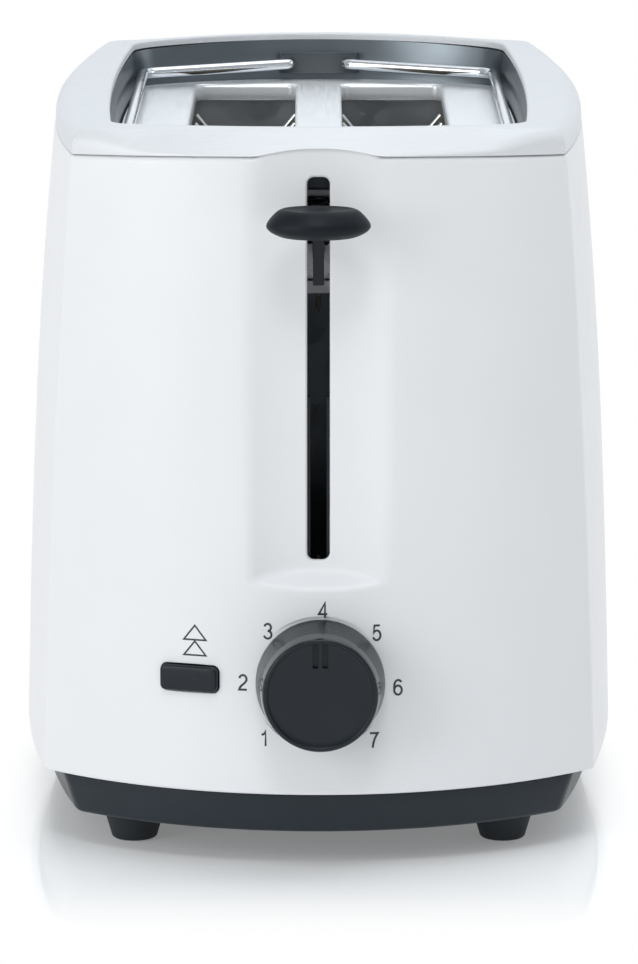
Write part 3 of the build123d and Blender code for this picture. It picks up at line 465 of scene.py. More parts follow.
def rows_to_top(x, top, n_mid, n_top, bottom=20.95, shoulder=184.0, extra=()):
    base = np.concatenate([bottom + 0.9 * (1 - np.cos(np.linspace(0, math.pi / 2, 7)[:-1])),
                           np.linspace(bottom + 0.9, shoulder, n_mid)])
    if len(extra):
        base = np.unique(np.round(np.concatenate([base, extra]), 4))
    t = np.linspace(0, 1, n_top + 1)[1:]
    t = 1 - (1 - t) ** 1.7
    z = np.concatenate([np.tile(base[:, None], (1, len(x))), shoulder + (top[None, :] - shoulder) * t[:, None]])
    return z


def columns(half, n, edge=0.6, n_edge=5):
    inner = np.linspace(-(1 - edge / half), 1 - edge / half, n)
    e = 1 - edge / half * (1 - np.sin(np.linspace(0, math.pi / 2, n_edge + 1)[1:]))
    return np.concatenate([-e[::-1], inner, e])


def end_panel(front):
    """Grid of the front or rear panel."""
    u_in = np.linspace(-24, 24, 121)
    m = 34
    v = np.linspace(0, 1, m + 1)[1:]
    v = np.concatenate([v[:-1], 1 - 0.011 * (1 - np.sin(np.linspace(0, math.pi / 2, 6)))])
    v = np.unique(v)
    nominal = np.concatenate([-(24 + v[::-1] * 42), u_in, 24 + v * 42])
    top = panel_top(nominal) if front else PANEL_TOP - drop(nominal)
    extra = np.linspace(76.5, 86, 30) if front else ()
    z = rows_to_top(nominal, top, 120, 16, extra=extra)
    half = corner_at(z) - 0.05
    a = np.abs(nominal)[None, :]
    x = np.where(a <= 24, nominal[None, :], np.sign(nominal)[None, :] * (24 + (a - 24) / 42 * (half - 24)))
    top_here = (PANEL_TOP - drop(x) + (arch(x) if front else 0))
    z = z + np.clip((z - 184) / 8, 0, 1) * (top_here - top[None, :])
    from_top = top_here - z
    if front:
        y = front_y(x, z)
        keep = step(np.abs(x), 13.0, 18.5)
    else:
        y = -bow_y(x, z)
        keep = 1.0
    y = y + roll(from_top, 1.9) * keep * 0.9 + roll(half - np.abs(x), 0.55) + roll(z - 20.95, 0.8)
    # inner face
    back = -(bow_y(x, z) - WALL)
    if front:
        t = (z - 76.0) / 129.0
        behind = (-125.1 + t) + 1.7
        wide = step(-np.abs(x), -23.5, -17.5) * step(z, 72, 77)
        back = np.maximum(back, behind * wide + back * (1 - wide))
    back = np.maximum(back, y + 0.35)
    outer = np.stack([x, y, z], -1)
    inner = np.stack([x * (1 - 1.55 / np.maximum(half, 1) * (np.abs(x) / half) ** 2), back, z], -1)
    if not front:
        outer[..., 1] *= -1
        inner[..., 1] *= -1
    return grid_solid(outer, inner)


def round_rect(w, h, r, n=8, centre=(0.0, 0.0)):
    """Closed loop of a rounded rectangle, with 4(n+1) points."""
    pts = []
    for k, (sx, sy) in enumerate(((1, -1), (1, 1), (-1, 1), (-1, -1))):
        for i in range(n + 1):
            a = math.radians(-90 + 90 * k + 90 * i / n)
            pts.append((centre[0] + sx * (w / 2 - r) + r * math.cos(a), centre[1] + sy * (h / 2 - r) + r * math.sin(a)))
    return np.array(pts)


def prism(name, loop2, a, b, plane, flare=None):
    """Cutter from a closed 2-D loop. plane is 'xz' along Y from a to b, 'xy' along Z."""
    loops = []
    for t in (a, b):
        if plane == "xz":
            loops.append(np.column_stack([loop2[:, 0], np.full(len(loop2), t), loop2[:, 1]]))
        else:
            loops.append(np.column_stack([loop2[:, 0], loop2[:, 1], np.full(len(loop2), t)]))
    return raw(name, *loft(loops))


KNOB_X, KNOB_Z = 0.5, 51.8
BTN_X, BTN_Z = -34.6, 52.0
BTN_TURN = math.asin(BTN_X / BOW)
BTN_Y = -(130.1 - (BOW - math.sqrt(BOW ** 2 - BTN_X ** 2)))
BTN_IN = np.array([-math.sin(BTN_TURN), math.cos(BTN_TURN)])       # into the casing
BTN_ALONG = np.array([math.cos(BTN_TURN), math.sin(BTN_TURN)])


def button_loop(w, h, r, depth, n=8):
    """Rounded rectangle on the button's plane, depth measured into the casing."""
    l = round_rect(w, h, r, n)
    xy = np.array([BTN_X, BTN_Y]) + l[:, :1] * BTN_ALONG + depth * BTN_IN
    return np.column_stack([xy, BTN_Z + l[:, 1]])


def circle2(cx, cz, r, n=96):
    a = np.linspace(0, 2 * math.pi, n, endpoint=False)
    return np.column_stack([cx + r * np.cos(a), cz + r * np.sin(a)])


def lever_slot_cutter():
    """Lever slot with a softened outer edge, following the bottom of the channel."""
    loops = []
    z0, z1 = 84.3, 187.2
    n = 24
    for grow, off in ((0.55, -1.2), (0.55, -0.02), (0.28, 0.12), (0.08, 0.38), (0.0, 0.75), (0.0, 9.0)):
        p = round_rect(6.0 + 2 * grow, z1 - z0 + 2 * grow, 1.9 + grow, 8, (0.0, (z0 + z1) / 2))
        # sides subdivided so that the cutter follows the slope of the channel
        full = []
        for i in range(len(p)):
            q, w = p[i], p[(i + 1) % len(p)]
            full.append(q)
            if abs(w[1] - q[1]) > 20:
                for k in range(1, 20):
                    full.append(q + (w - q) * k / 20)
        p = np.array(full)
        y = front_y(p[:, 0] * 0, p[:, 1]) + off
        loops.append(np.column_stack([p[:, 0], y, p[:, 1]]))
    return raw("lever_slot_cut", *loft(loops))


points, faces = end_panel(True)
knob_seat = prism("knob_seat_cut", circle2(KNOB_X, KNOB_Z, 18.2, 128), -140, -129.2, "xz")
knob_hub = prism("knob_hub_cut", circle2(KNOB_X, KNOB_Z, 6.0, 64), -135, -115, "xz")
button_cut = raw("button_cut", *loft([button_loop(17.5, 8.3, 2.3, -2.0),
                                      button_loop(17.5, 8.3, 2.3, -0.02), button_loop(17.0, 7.8, 2.0, 0.16),
                                      button_loop(16.8, 7.6, 1.8, 0.5), button_loop(16.8, 7.6, 1.8, 7.0)]))
front = make("front_panel_shell", points, faces, "casing", "white_plastic", ["front_panel"],
             cutters=[lever_slot_cutter(), knob_seat, knob_hub, button_cut])

points, faces = end_panel(False)
cuts = []
for k in range(9):
    l = round_rect(2.6, 22.0, 1.29, 8, ((k - 4) * 7.0, 58.0))
    cuts.append(prism("air_cut_%d" % k, l, 116, 140, "xz"))
cuts.append(prism("inlet_cut", circle2(0, 32, 6.0, 64), 116, 140, "xz"))
make("rear_panel_shell", points, faces, "casing", "white_plastic", ["rear_panel"], cutters=cuts)


def side_panel(sign):
    v = columns(100.0, 90, 0.7, 6)
    nominal = v * 100
    rows_z = rows_to_top(nominal, np.full(len(v), PANEL_TOP - 2.4), 70, 14)
    z = rows_z
    yc = bow_y(corner_at(z), z) - 0.05
    w, xc = side_at(z), corner_at(z)
    y = v[None, :] * yc
    radius = ((w - xc) ** 2 + yc ** 2) / (2 * (w - xc))
    x = w - (radius - np.sqrt(radius ** 2 - y ** 2))
    top = PANEL_TOP - drop(x)
    z = z + np.clip((z - 184) / (PANEL_TOP - 2.4 - 184), 0, 1) * (top - (PANEL_TOP - 2.4))
    inset = roll(top - z, 0.9) + roll(yc - np.abs(y), 0.55) + roll(z - 20.95, 0.8)
    outer = np.stack([sign * (x + 0.02 - inset), y, z], -1)
    inner_y = y * (1 - 2.3 / yc * (np.abs(y) / yc) ** 8)
    inner = np.stack([sign * (x - WALL), inner_y, z], -1)
    return grid_solid(outer, inner)


for name, sign in (("left", -1), ("right", 1)):
    points, faces = side_panel(sign)
    make("side_shell_%s_skin" % name, points, faces, "casing", "white_plastic", ["side_shell_" + name])


# ------------------------------------------------------------------ plans with rounded corners
def plan(w, xc, length, bow, r, n=(36, 14, 60)):
    """Closed loop, anticlockwise from the middle of the front, with matched point counts."""
    yc = length - (bow - math.sqrt(bow * bow - xc * xc))
    rs = ((w - xc) ** 2 + yc ** 2) / (2 * (w - xc))       # side arc radius
    cf = np.array([0.0, length - bow])                    # centre of the end arc (y > 0 quadrant)
    cs = np.array([w - rs, 0.0])                          # centre of the side arc
    a, b = bow - r, rs - r
    dvec = cs - cf
    d = np.linalg.norm(dvec)
    t = (a * a - b * b + d * d) / (2 * d)
    h = math.sqrt(max(a * a - t * t, 0))
    u = dvec / d
    base = cf + u * t
    perp = np.array([-u[1], u[0]])
    fc = max((base + perp * h, base - perp * h), key=lambda q: q[0] + q[1])
    ta = cf + (fc - cf) / np.linalg.norm(fc - cf) * bow
    tb = cs + (fc - cs) / np.linalg.norm(fc - cs) * rs
    quarter = []
    a1 = math.asin(ta[0] / bow)
    for i in range(n[0]):
        q = a1 * i / n[0]
        quarter.append((bow * math.sin(q), cf[1] + bow * math.cos(q)))
    s0 = math.atan2(*(ta - fc)[::-1])
    s1 = math.atan2(*(tb - fc)[::-1])
    for i in range(n[1]):
        q = s0 + (s1 - s0) * i / n[1]
        quarter.append((fc[0] + r * math.cos(q), fc[1] + r * math.sin(q)))
    b1 = math.asin(tb[1] / rs)
    for i in range(n[2] + 1):
        q = b1 * (1 - i / n[2])
        quarter.append((cs[0] + rs * math.cos(q), rs * math.sin(q)))
    q1 = np.array(quarter)                                # x>0, y>0: end middle -> side middle
    fr = q1 * [1, -1]                                     # front right
    rr = q1[::-1]                                         # rear right, side middle -> rear middle
    rl = q1 * [-1, 1]
    fl = (q1 * [-1, -1])[::-1]
    return np.vstack([fr[:-1], rr[:-1], rl[:-1], fl[:-1]])


def opening(d, n=(36, 14, 60)):
    return plan(58.5 + d, 55.5 + d, 117.0 + d, 89.4 + d, 14.0 + d, n)


# ------------------------------------------------------------------ top rim
def rim():
    O = plan(74.32, 66.03, 126.52, BOW, 1.2)
    M = plan(60.0, 57.0, 118.5, 90.9, 15.5)
    I = opening(0)
    X = O[:, 0]
    front_side = O[:, 1] < 0
    T = PANEL_TOP - drop(X) + np.where(front_side, arch(X), 0) + 0.12
    s0 = np.clip((T - 193.0) / 7.4, 0, 1)
    loops = []

    def at(s, z):
        p = O + (M - O) * s[:, None]
        return p, z

    def crown(p):
        return CREST - drop(p[:, 0]) * (1 - 0.45 * step(p[:, 1], -70.0, 90.0))

    # the sides and corners stand nearly upright before they roll over; the ends slope straight
    full = step(np.abs(O[:, 0]), 44.0, 66.0) * np.where(front_side, 0.92, 1.0)

    def height(s, p):
        straight = smin(193.0 + 7.4 * s, crown(p), 1.3)
        foot_z = np.minimum(194.6, crown(p) - 1.0)
        t = np.clip(1 - s / 0.34, 0, 1)
        rolled = crown(p) - (crown(p) - foot_z) * t ** 2.3 - 0.15 * (1 - np.clip(s, 0, 1))
        return straight * (1 - full) + np.maximum(rolled, straight) * full

    inward = (M - O) / np.linalg.norm(M - O, axis=1)[:, None]
    z1 = (193.0 + 7.4 * s0) * (1 - full) + 194.6 * full
    rz = np.minimum(1.0, np.maximum((z1 - T) * 0.55, 0.02))
    # lower edge, slightly rounded
    for k, (inset, up) in enumerate(((0.30, 0.0), (0.09, 0.07), (0.0, 0.28))):
        p = O + (M - O) * s0[:, None] + inward * inset
        f = np.clip((z1 - T) / 0.6, 0, 1)
        loops.append(np.column_stack([p, T + up * f]))
    low = T + 0.28 * np.clip((z1 - T) / 0.6, 0, 1)
    base = O + (M - O) * s0[:, None]
    start = np.maximum(low + 0.01, z1 - rz)
    rs = 0.13
    for t in (0.0, 0.25, 0.5, 0.75, 1.0):
        s = s0 + (t * t) * rs * (1 - s0)
        p = O + (M - O) * s[:, None]
        s_end = s0 + rs * (1 - s0)
        z_end = height(s_end, O + (M - O) * s_end[:, None])
        z = (1 - t) ** 2 * start + 2 * t * (1 - t) * (z1 * (1 - full) + (start + 0.72 * (z_end - start)) * full) + t * t * z_end
        loops.append(np.column_stack([p, z]))
    for q in (0.16, 0.20, 0.25, 0.30, 0.36, 0.42, 0.48, 0.55, 0.62, 0.69, 0.76, 0.83, 0.89, 0.95, 1.0):
        s = s0 + (1 - s0) * q
        p = O + (M - O) * s[:, None]
        loops.append(np.column_stack([p, height(s, p)]))
    # crest and rounded lip
    lipr = 0.7
    span = I - M
    ln = np.linalg.norm(span, axis=1)[:, None]
    for q in (0.25, 0.45):
        p = M + span * q
        loops.append(np.column_stack([p, height(np.full(len(p), 1.0 + 0.1 * q), p)]))
    for a in np.linspace(0, math.pi / 2, 6):
        p = I - span / ln * (lipr * (1 - math.sin(a)))
        loops.append(np.column_stack([p, crown(p) - 0.05 - lipr * (1 - math.cos(a))]))
    p = I
    loops.append(np.column_stack([p, crown(p) - 1.5]))
    loops.append(np.column_stack([p, crown(p) - 2.1]))
    # underside
    for q, off in ((0.0, 2.1), (-0.3, 2.2)):
        p = M + (M - I) * (-q)
        loops.append(np.column_stack([p, crown(p) - off]))
    for q in (0.7, 0.4, 0.2):
        s = s0 + (1 - s0) * q
        p = O + (M - O) * s[:, None]
        z = np.maximum(np.minimum(193.0 + 7.4 * s, crown(p)) - 2.0, T + 0.02)
        loops.append(np.column_stack([p, z]))
    return loft(loops, close=True)


points, faces = rim()
make("top_rim_skin", points, faces, "casing", "satin_silver", ["top_rim"], sharp=40)


def liner():
    loops = []

    def crown(p, top):
        return top - drop(p[:, 0])

    for d, z, follow in ((-1.8, 183.5, False), (-1.2, 188.0, False), (-0.55, 193.0, False), (-0.05, 197.2, True), (0.12, 197.9, True),
                         (1.08, 197.9, True), (0.5, 193.0, False), (-0.8, 183.5, False)):
        p = opening(d)
        zz = crown(p, z) if follow else np.full(len(p), z)
        loops.append(np.column_stack([p, zz]))
    return loft(loops, close=True)


points, faces = liner()
make("opening_liner_skin", points, faces, "casing", "polished_steel", ["opening_liner"], sharp=50)


# ------------------------------------------------------------------ top plate
def rounded_slot(cx, grow, r, n=8):
    return round_rect(30.3 + 2 * grow, 143.0 + 2 * grow, r + grow, n, (cx, 29.5))


def top_plate():
    bm = bmesh.new()
    top, under = 186.0, 185.2

    def ring(pts, z):
        return [bm.verts.new((p[0], p[1], z)) for p in pts]

    def join(a, b):
        for i in range(len(a)):
            j = (i + 1) % len(a)
            bm.faces.new((a[i], a[j], b[j], b[i]))

    outer2 = opening(-2.2, (16, 8, 24))
    o_top, o_low = ring(outer2, top), ring(outer2, under)
    join(o_top, o_low)
    tops, lows = [], []
    for cx in (-22.0, 22.0):
        R = 1.3
        prof = []
        for a in np.linspace(0, math.pi / 2, 7):
            prof.append((R * (1 - math.sin(a)), top - R * (1 - math.cos(a))))
        prof += [(0.0, 183.0), (0.0, 181.2), (0.12, 181.0), (0.68, 181.0), (0.8, 181.2), (0.8, 184.3), (1.3, under)]
        rings = [ring(rounded_slot(cx, g, 3.0), z) for g, z in prof]
        for a, b in zip(rings[:-1], rings[1:]):
            join(a, b)
        tops.append(rings[0])
        lows.append(rings[-1])
    bm.verts.index_update()
    for outer, holes in ((o_top, tops), (o_low, lows)):
        edges = []
        for loop in [outer] + holes:
            for i in range(len(loop)):
                v, w = loop[i], loop[(i + 1) % len(loop)]
                e = bm.edges.get((v, w)) or bm.edges.new((v, w))
                edges.append(e)
        bmesh.ops.triangle_fill(bm, use_beauty=True, use_dissolve=False, edges=edges, normal=(0, 0, 1))
    pts = [tuple(v.co) for v in bm.verts]
    bm.verts.index_update()
    fcs = [tuple(v.index for v in f.verts) for f in bm.faces]
    bm.free()
    return pts, fcs


points, faces = top_plate()
make("top_plate_skin", points, faces, "casing", "brushed_steel", ["top_plate"], sharp=38)


# ------------------------------------------------------------------ base and feet
def base():
    def at(z, inset):
        t = (z - 9.7) / 11.0
        return plan(78.0 + 2.8 * t - inset, 65.9 + 3.7 * t - inset, 126.2 + 2.4 * t - inset, 106.0 + 1.5 * t - inset, max(5.0 - inset, 1.5), (30, 10, 44))
    loops = []
    R = 1.3
    for a in np.linspace(0, math.pi / 2, 6):
        loops.append((9.7 + R * (1 - math.cos(a)), R * (1 - math.sin(a))))
    loops += [(13.5, 0), (17.0, 0), (20.1, 0), (20.45, 0.12), (20.62, 0.35), (20.7, 0.8), (20.7, 2.3), (20.3, 2.5), (12.4, 2.5)]
    out = []
    for z, inset in loops:
        p = at(z, inset)
        out.append(np.column_stack([p, np.full(len(p), z)]))
    return loft(out)


cuts = [prism("tray_mouth", round_rect(87.0, 7.2, 0.8, 4, (0.0, 16.2)), 90, 140, "xz")]
for sx in (-1, 1):
    for k in range(9):
        cuts.append(prism("base_air", round_rect(16.0, 3.0, 1.49, 6, (sx * 62.0, (k - 4) * 12.0)), 5, 12.3 + 0.5, "xy"))
for sx, sy in ((-51, -42), (51, -42), (-51, 100), (51, 100)):
    cuts.append(prism("screw_sink", circle2(sx, sy, 3.0, 32), 5, 11.0, "xy"))
    cuts.append(prism("screw_hole", circle2(sx, sy, 1.6, 24), 4, 14.0, "xy"))
points, faces = base()
make("base_skin", points, faces, "casing", "anthracite_plastic", ["base"], cutters=cuts)


def revolve(profile, centre, axis="z", n=64):
    """Solid of revolution. profile is (radius, height) from one pole to the other."""
    loops = []
    a = np.linspace(0, 2 * math.pi, n, endpoint=False)
    for r, h in profile:
        if axis == "z":
            loops.append(np.column_stack([centre[0] + r * np.cos(a), centre[1] + r * np.sin(a), np.full(n, centre[2] + h)]))
        else:
            loops.append(np.column_stack([centre[0] + r * np.cos(a), np.full(n, centre[1] + h), centre[2] + r * np.sin(a)]))
    return loft(loops)


for label, fx, fy in (("foot_front_left", -50.7, -92), ("foot_front_right", 50.7, -92), ("foot_rear_left", -50.7, 87), ("foot_rear_right", 50.7, 87)):
    prof = [(1.2, 0.25), (3.6, 0.25), (3.95, 0.0), (5.2, 0.0), (5.65, 0.08), (6.05, 0.35), (6.3, 0.75), (6.42, 1.2),
            (7.35, 4.4), (8.25, 7.4), (8.82, 9.3), (8.9, 9.55), (8.8, 9.62), (3.0, 9.62), (3.0, 11.6), (2.6, 12.0), (0.4, 12.0)]
    points, faces = revolve(prof, (fx, fy, 0), "z", 56)
    make(label + "_skin", points, faces, "casing", "rubber", [label])


# ------------------------------------------------------------------ lever knob
def lever_knob():
    keys = [(173.35, 8.1, 5.8, -139.0), (173.42, 9.0, 6.5, -139.0), (173.95, 10.8, 7.8, -139.1), (174.7, 12.3, 8.9, -139.2),
            (175.5, 13.3, 9.6, -139.2), (176.3, 13.72, 9.8, -139.2), (177.2, 13.5, 9.7, -139.2), (178.4, 12.7, 9.1, -139.2),
            (179.6, 11.6, 8.3, -139.2), (180.5, 10.5, 7.4, -139.2), (180.88, 9.7, 6.8, -139.2)]
    n = 96
    a = np.linspace(0, 2 * math.pi, n, endpoint=False)
    k = np.array(keys)
    d = np.concatenate([[0], np.cumsum(np.linalg.norm(np.diff(k[:, :3], axis=0), axis=1))])
    fs = [cubic(d, k[:, i]) for i in range(4)]
    loops = []
    for t in np.linspace(0, d[-1], 34):
        z, rx, ry, yc = (float(f(t)) for f in fs)
        loops.append(np.column_stack([rx * np.cos(a), yc + ry * np.sin(a), np.full(n, z)]))
    for q, dz in ((0.965, -0.02), (0.92, -0.12), (0.84, -0.32), (0.66, -0.52), (0.45, -0.64), (0.22, -0.70), (0.05, -0.72)):
        loops.append(np.column_stack([9.7 * q * np.cos(a), -139.2 + 6.8 * q * np.sin(a), np.full(n, 180.9 + dz)]))
    return loft(loops)


points, faces = lever_knob()
pocket = prism("lever_pocket", round_rect(3.04, 3.9, 0.2, 3, (0.0, 176.7)), -141.05, -127.0, "xz")
lever = make("lever_knob_skin", points, faces, "lift", "black_plastic", ["lever_knob"], cutters=[pocket])
lever.data.materials[0] = plastic("lever_satin", (0.005, 0.008, 0.012), 0.48, 0.04, 0.12, 2200.0, 0.05, 0.19)

# ------------------------------------------------------------------ browning knob
body_prof = [(14.6, -129.6), (17.05, -129.6), (17.28, -129.72), (17.33, -130.0), (17.3, -131.0), (16.62, -136.0), (15.95, -141.0),
             (15.48, -144.4), (15.38, -144.9), (15.18, -145.3), (14.85, -145.55), (14.5, -145.6), (14.25, -145.52), (14.05, -145.3),
             (13.92, -145.0), (13.7, -144.9), (12.6, -144.88), (9.0, -144.98), (5.0, -145.05), (1.0, -145.08)]
n = 144
points, faces = revolve([(1.0, -142.1), (5.0, -142.1), (12.0, -142.1), (14.2, -141.6), (14.6, -141.0)] + body_prof, (KNOB_X, 0, KNOB_Z), "y", n)
notch_l = round_rect(1.55, 6.6, 0.35, 4, (KNOB_X - 1.3, KNOB_Z + 10.6))
notch_r = round_rect(1.55, 6.6, 0.35, 4, (KNOB_X + 1.3, KNOB_Z + 10.6))
knob = make("browning_knob_skin", points, faces, "browning_control", "black_plastic", ["browning_knob"], sharp=30,
            cutters=[prism("notch_l", notch_l, -147, -143.6, "xz"), prism("notch_r", notch_r, -147, -143.6, "xz")])
knob.data.materials.append(plastic("polished_knob_side", (0.016, 0.021, 0.027), 0.10, 0.02, 0.1, 2200.0, 0.01, 0.6))
for poly in knob.data.polygons:
    c_ = poly.center
    if math.hypot(c_.x - KNOB_X / 1000, c_.z - KNOB_Z / 1000) > 0.0148 and abs(poly.normal.y) < 0.6 and c_.y < -0.1308:
        poly.material_index = 1

# ------------------------------------------------------------------ eject button
loops = [button_loop(16.2, 7.0, 1.5, 3.2)]
for a in np.linspace(0, math.pi / 2, 7):
    g = 0.8 * (1 - math.cos(a))
    loops.append(button_loop(16.2 - 2 * g, 7.0 - 2 * g, 1.5 - g * 0.6, -1.5 + 0.8 * (1 - math.sin(a))))
for g, d in ((1.5, -1.56), (2.4, -1.58)):
    loops.append(button_loop(16.2 - 2 * g, 7.0 - 2 * g, 0.6, d))
points, faces = loft(loops)
make("eject_button_skin", points, faces, "eject", "black_plastic", ["eject_button"], sharp=34)

# ------------------------------------------------------------------ printed figures
def print_on_panel(name, pts2, faces):
    """Flat figure in X,Z laid on the panel, 0.05 mm proud, as a thin closed plate."""
    p = np.asarray(pts2, float)
    y = front_y(p[:, 0], p[:, 1])
    frontp = np.column_stack([p[:, 0], y - 0.06, p[:, 1]])
    backp = np.column_stack([p[:, 0], y + 0.12, p[:, 1]])
    n = len(p)
    counts = {}
    for f in faces:
        for i in range(len(f)):
            e = (f[i], f[(i + 1) % len(f)])
            counts[e] = counts.get(e, 0) + 1
    rim_edges = [e for e in counts if (e[1], e[0]) not in counts]
    fc = [tuple(f) for f in faces] + [tuple(n + i for i in reversed(f)) for f in faces]
    fc += [(b, a, a + n, b + n) for a, b in rim_edges]
    return make(name, np.vstack([frontp, backp]), fc, "casing", "black_plastic", material=INK, sharp=30)


DIGITS = {"1": (-14.4, 36.4), "2": (-20.2, 51.6), "3": (-13.5, 65.8), "4": (1.2, 71.6), "5": (15.6, 65.3), "6": (21.3, 50.2), "7": (14.9, 35.9)}


def arc2(cx, cy, rx, ry, a0, a1, n=18):
    t = np.radians(np.linspace(a0, a1, n + 1))
    return [(cx + rx * math.cos(q), cy + ry * math.sin(q)) for q in t]


# centre lines of plain figures, one unit high
STROKES = {
    "1": [[(0.08, 0.77), (0.20, 0.79), (0.30, 0.86), (0.35, 1.0), (0.35, 0.0)]],
    "2": [arc2(0.29, 0.73, 0.24, 0.27, 170, -30) + [(0.40, 0.46), (0.22, 0.30), (0.10, 0.17), (0.04, 0.0), (0.55, 0.0)]],
    "3": [arc2(0.28, 0.755, 0.22, 0.245, 165, -90, 20), arc2(0.28, 0.26, 0.25, 0.26, 90, -165, 22)],
    "4": [[(0.58, 0.25), (0.02, 0.25), (0.43, 1.0), (0.43, 0.0)]],
    "5": [[(0.50, 1.0), (0.14, 1.0), (0.08, 0.50)] + arc2(0.29, 0.33, 0.25, 0.33, 140, -158, 22)],
    "6": [arc2(0.31, 0.62, 0.26, 0.38, 38, 175, 16) + arc2(0.30, 0.31, 0.25, 0.31, 180, 540, 30)],
    "7": [[(0.02, 1.0), (0.55, 1.0), (0.44, 0.82), (0.34, 0.60), (0.26, 0.34), (0.21, 0.0)]],
}


def stroke_strip(line, width):
    """Quads of constant width along a centre line."""
    p = np.array(line, float)
    keep = [0]
    for i in range(1, len(p)):
        if np.linalg.norm(p[i] - p[keep[-1]]) > 1e-4:
            keep.append(i)
    p = p[keep]
    d = np.diff(p, axis=0)
    d /= np.linalg.norm(d, axis=1)[:, None]
    left, right = [], []
    for i in range(len(p)):
        a_ = d[max(i - 1, 0)]
        b_ = d[min(i, len(d) - 1)]
        t = a_ + b_
        ln = np.linalg.norm(t)
        t = t / ln if ln > 1e-6 else b_
        nrm = np.array([-t[1], t[0]])
        c = max(abs(float(nrm @ np.array([-b_[1], b_[0]]))), 0.42)
        left.append(p[i] + nrm * width / 2 / c)
        right.append(p[i] - nrm * width / 2 / c)
    n = len(p)
    pts = left + right
    return pts, [(n + i, n + i + 1, i + 1, i) for i in range(n - 1)]


for ch, (cx, cz) in DIGITS.items():
    pts, fcs = [], []
    high = 4.0
    for line in STROKES[ch]:
        q = [((x_ - 0.30) * high + cx, (y_ - 0.5) * high + cz) for x_, y_ in line]
        pp, ff = stroke_strip(q, 0.56)
        fcs += [tuple(i + len(pts) for i in f) for f in ff]
        pts += pp
    print_on_panel("dial_figure_" + ch, pts, fcs)


def triangle_ring(cx, z0, z1, half, t):
    """Outlined triangle standing on z0, apex at z1, with line width t."""
    o = np.array([(cx - half, z0), (cx + half, z0), (cx, z1)])
    c = np.array([cx, z0 + (z1 - z0) * 0.36])
    edge = math.hypot(half, z1 - z0)
    s1 = t * 1.02
    inner = np.array([(cx - half + t * (half + edge) / (z1 - z0), z0 + s1),
                      (cx + half - t * (half + edge) / (z1 - z0), z0 + s1),
                      (cx, z1 - t * edge / half)])
    pts = []
    for ring_pts in (o, inner):
        for i in range(3):
            a, b = ring_pts[i], ring_pts[(i + 1) % 3]
            for k in range(8):
                pts.append(a + (b - a) * k / 8)
    m = 24
    fc = [(i, (i + 1) % m, m + (i + 1) % m, m + i) for i in range(m)]
    return pts, fc


for k, (z0, z1) in enumerate(((58.1, 62.5), (62.3, 66.8))):
    pts, fc = triangle_ring(-33.15, z0, z1, 3.4, 0.44)
    print_on_panel("eject_mark_%d" % (k + 1), pts, fc)

# ------------------------------------------------------------------ carried-over parts
slot_of = {}
for names, s in (
    (("crumb_tray", "cord_inlet"), "anthracite_plastic"),
    (("slot_guard", "rack_bracket_front", "rack_bracket_back"), "black_plastic"),
    (("lever_arm",), "black_steel"),
    (("carriage", "guide_rods", "rod_bracket_lower", "rod_bracket_upper", "armature", "electromagnet_core",
      "return_spring", "control_shaft", "chassis_screws", "base_screws"), "zinc_steel"),
    (("chassis_front_plate", "chassis_rear_plate", "heat_shield_left", "heat_shield_right", "bread_lifter_left", "bread_lifter_right"), "aluminised_steel"),
    (("heater_board_left", "heater_board_centre", "heater_board_right"), "mica"),
    (("heater_ribbon_left", "heater_ribbon_centre", "heater_ribbon_right"), "heater_ribbon"),
    (("bread_guide_left_outer", "bread_guide_left_inner", "bread_guide_right_inner", "bread_guide_right_outer", "bun_rack_left", "bun_rack_right"), "bright_wire"),
    (("electromagnet_coil",), "copper_winding"),
    (("control_board",), "circuit_board"),
    (("board_components", "potentiometer", "board_bracket"), "component_black"),
):
    for n_ in names:
        slot_of[n_] = s


for n_, o in NODES.items():
    s = slot_of.get(n_)
    if s is None or o.hide_render:
        continue
    o.data.materials.clear()
    # the chassis front plate takes the darker heat-sheet copy, painted shade standing in for the shadow behind the
    # lever slot
    look = "bracket_gloss" if n_.startswith("rack_bracket") else "painted_shade_sheet" if n_ == "chassis_front_plate" else s
    o.data.materials.append(MAT[look])

# ------------------------------------------------------------------ floor and light
bm = bmesh.new()
bmesh.ops.create_grid(bm, x_segments=8, y_segments=8, size=6.0)
me = bpy.data.meshes.new("floor")
bm.to_mesh(me)
bm.free()
floor = bpy.data.objects.new("floor", me)
bpy.context.scene.collection.objects.link(floor)
floor.location = (0, 0, -0.0002)
m, nt, bsdf = new_material("pale_floor")
bsdf.inputs["Base Color"].default_value = (0.90, 0.92, 0.93, 1)
bsdf.inputs["Roughness"].default_value = 0.07
bsdf.inputs["Specular IOR Level"].default_value = 0.5
bsdf.inputs["Emission Color"].default_value = (1, 1, 1, 1)
bsdf.inputs["Emission Strength"].default_value = 0.18
# away from the object the floor runs out into the white backdrop
v = coords(nt)
sep = nt.nodes.new("ShaderNodeSeparateXYZ")
nt.links.new(v, sep.inputs[0])


def beyond(axis, centre, half):
    """How far a floor point lies outside a strip, in metres."""
    d = node(nt, "ShaderNodeMath", operation="SUBTRACT")
    nt.links.new(sep.outputs[axis], d.inputs[0])
    d.inputs[1].default_value = centre
    ab = node(nt, "ShaderNodeMath", operation="ABSOLUTE")
    nt.links.new(d.outputs[0], ab.inputs[0])
    s_ = node(nt, "ShaderNodeMath", operation="SUBTRACT")
    nt.links.new(ab.outputs[0], s_.inputs[0])
    s_.inputs[1].default_value = half
    mx_ = node(nt, "ShaderNodeMath", operation="MAXIMUM")
    nt.links.new(s_.outputs[0], mx_.inputs[0])
    mx_.inputs[1].default_value = 0.0
    return mx_.outputs[0]


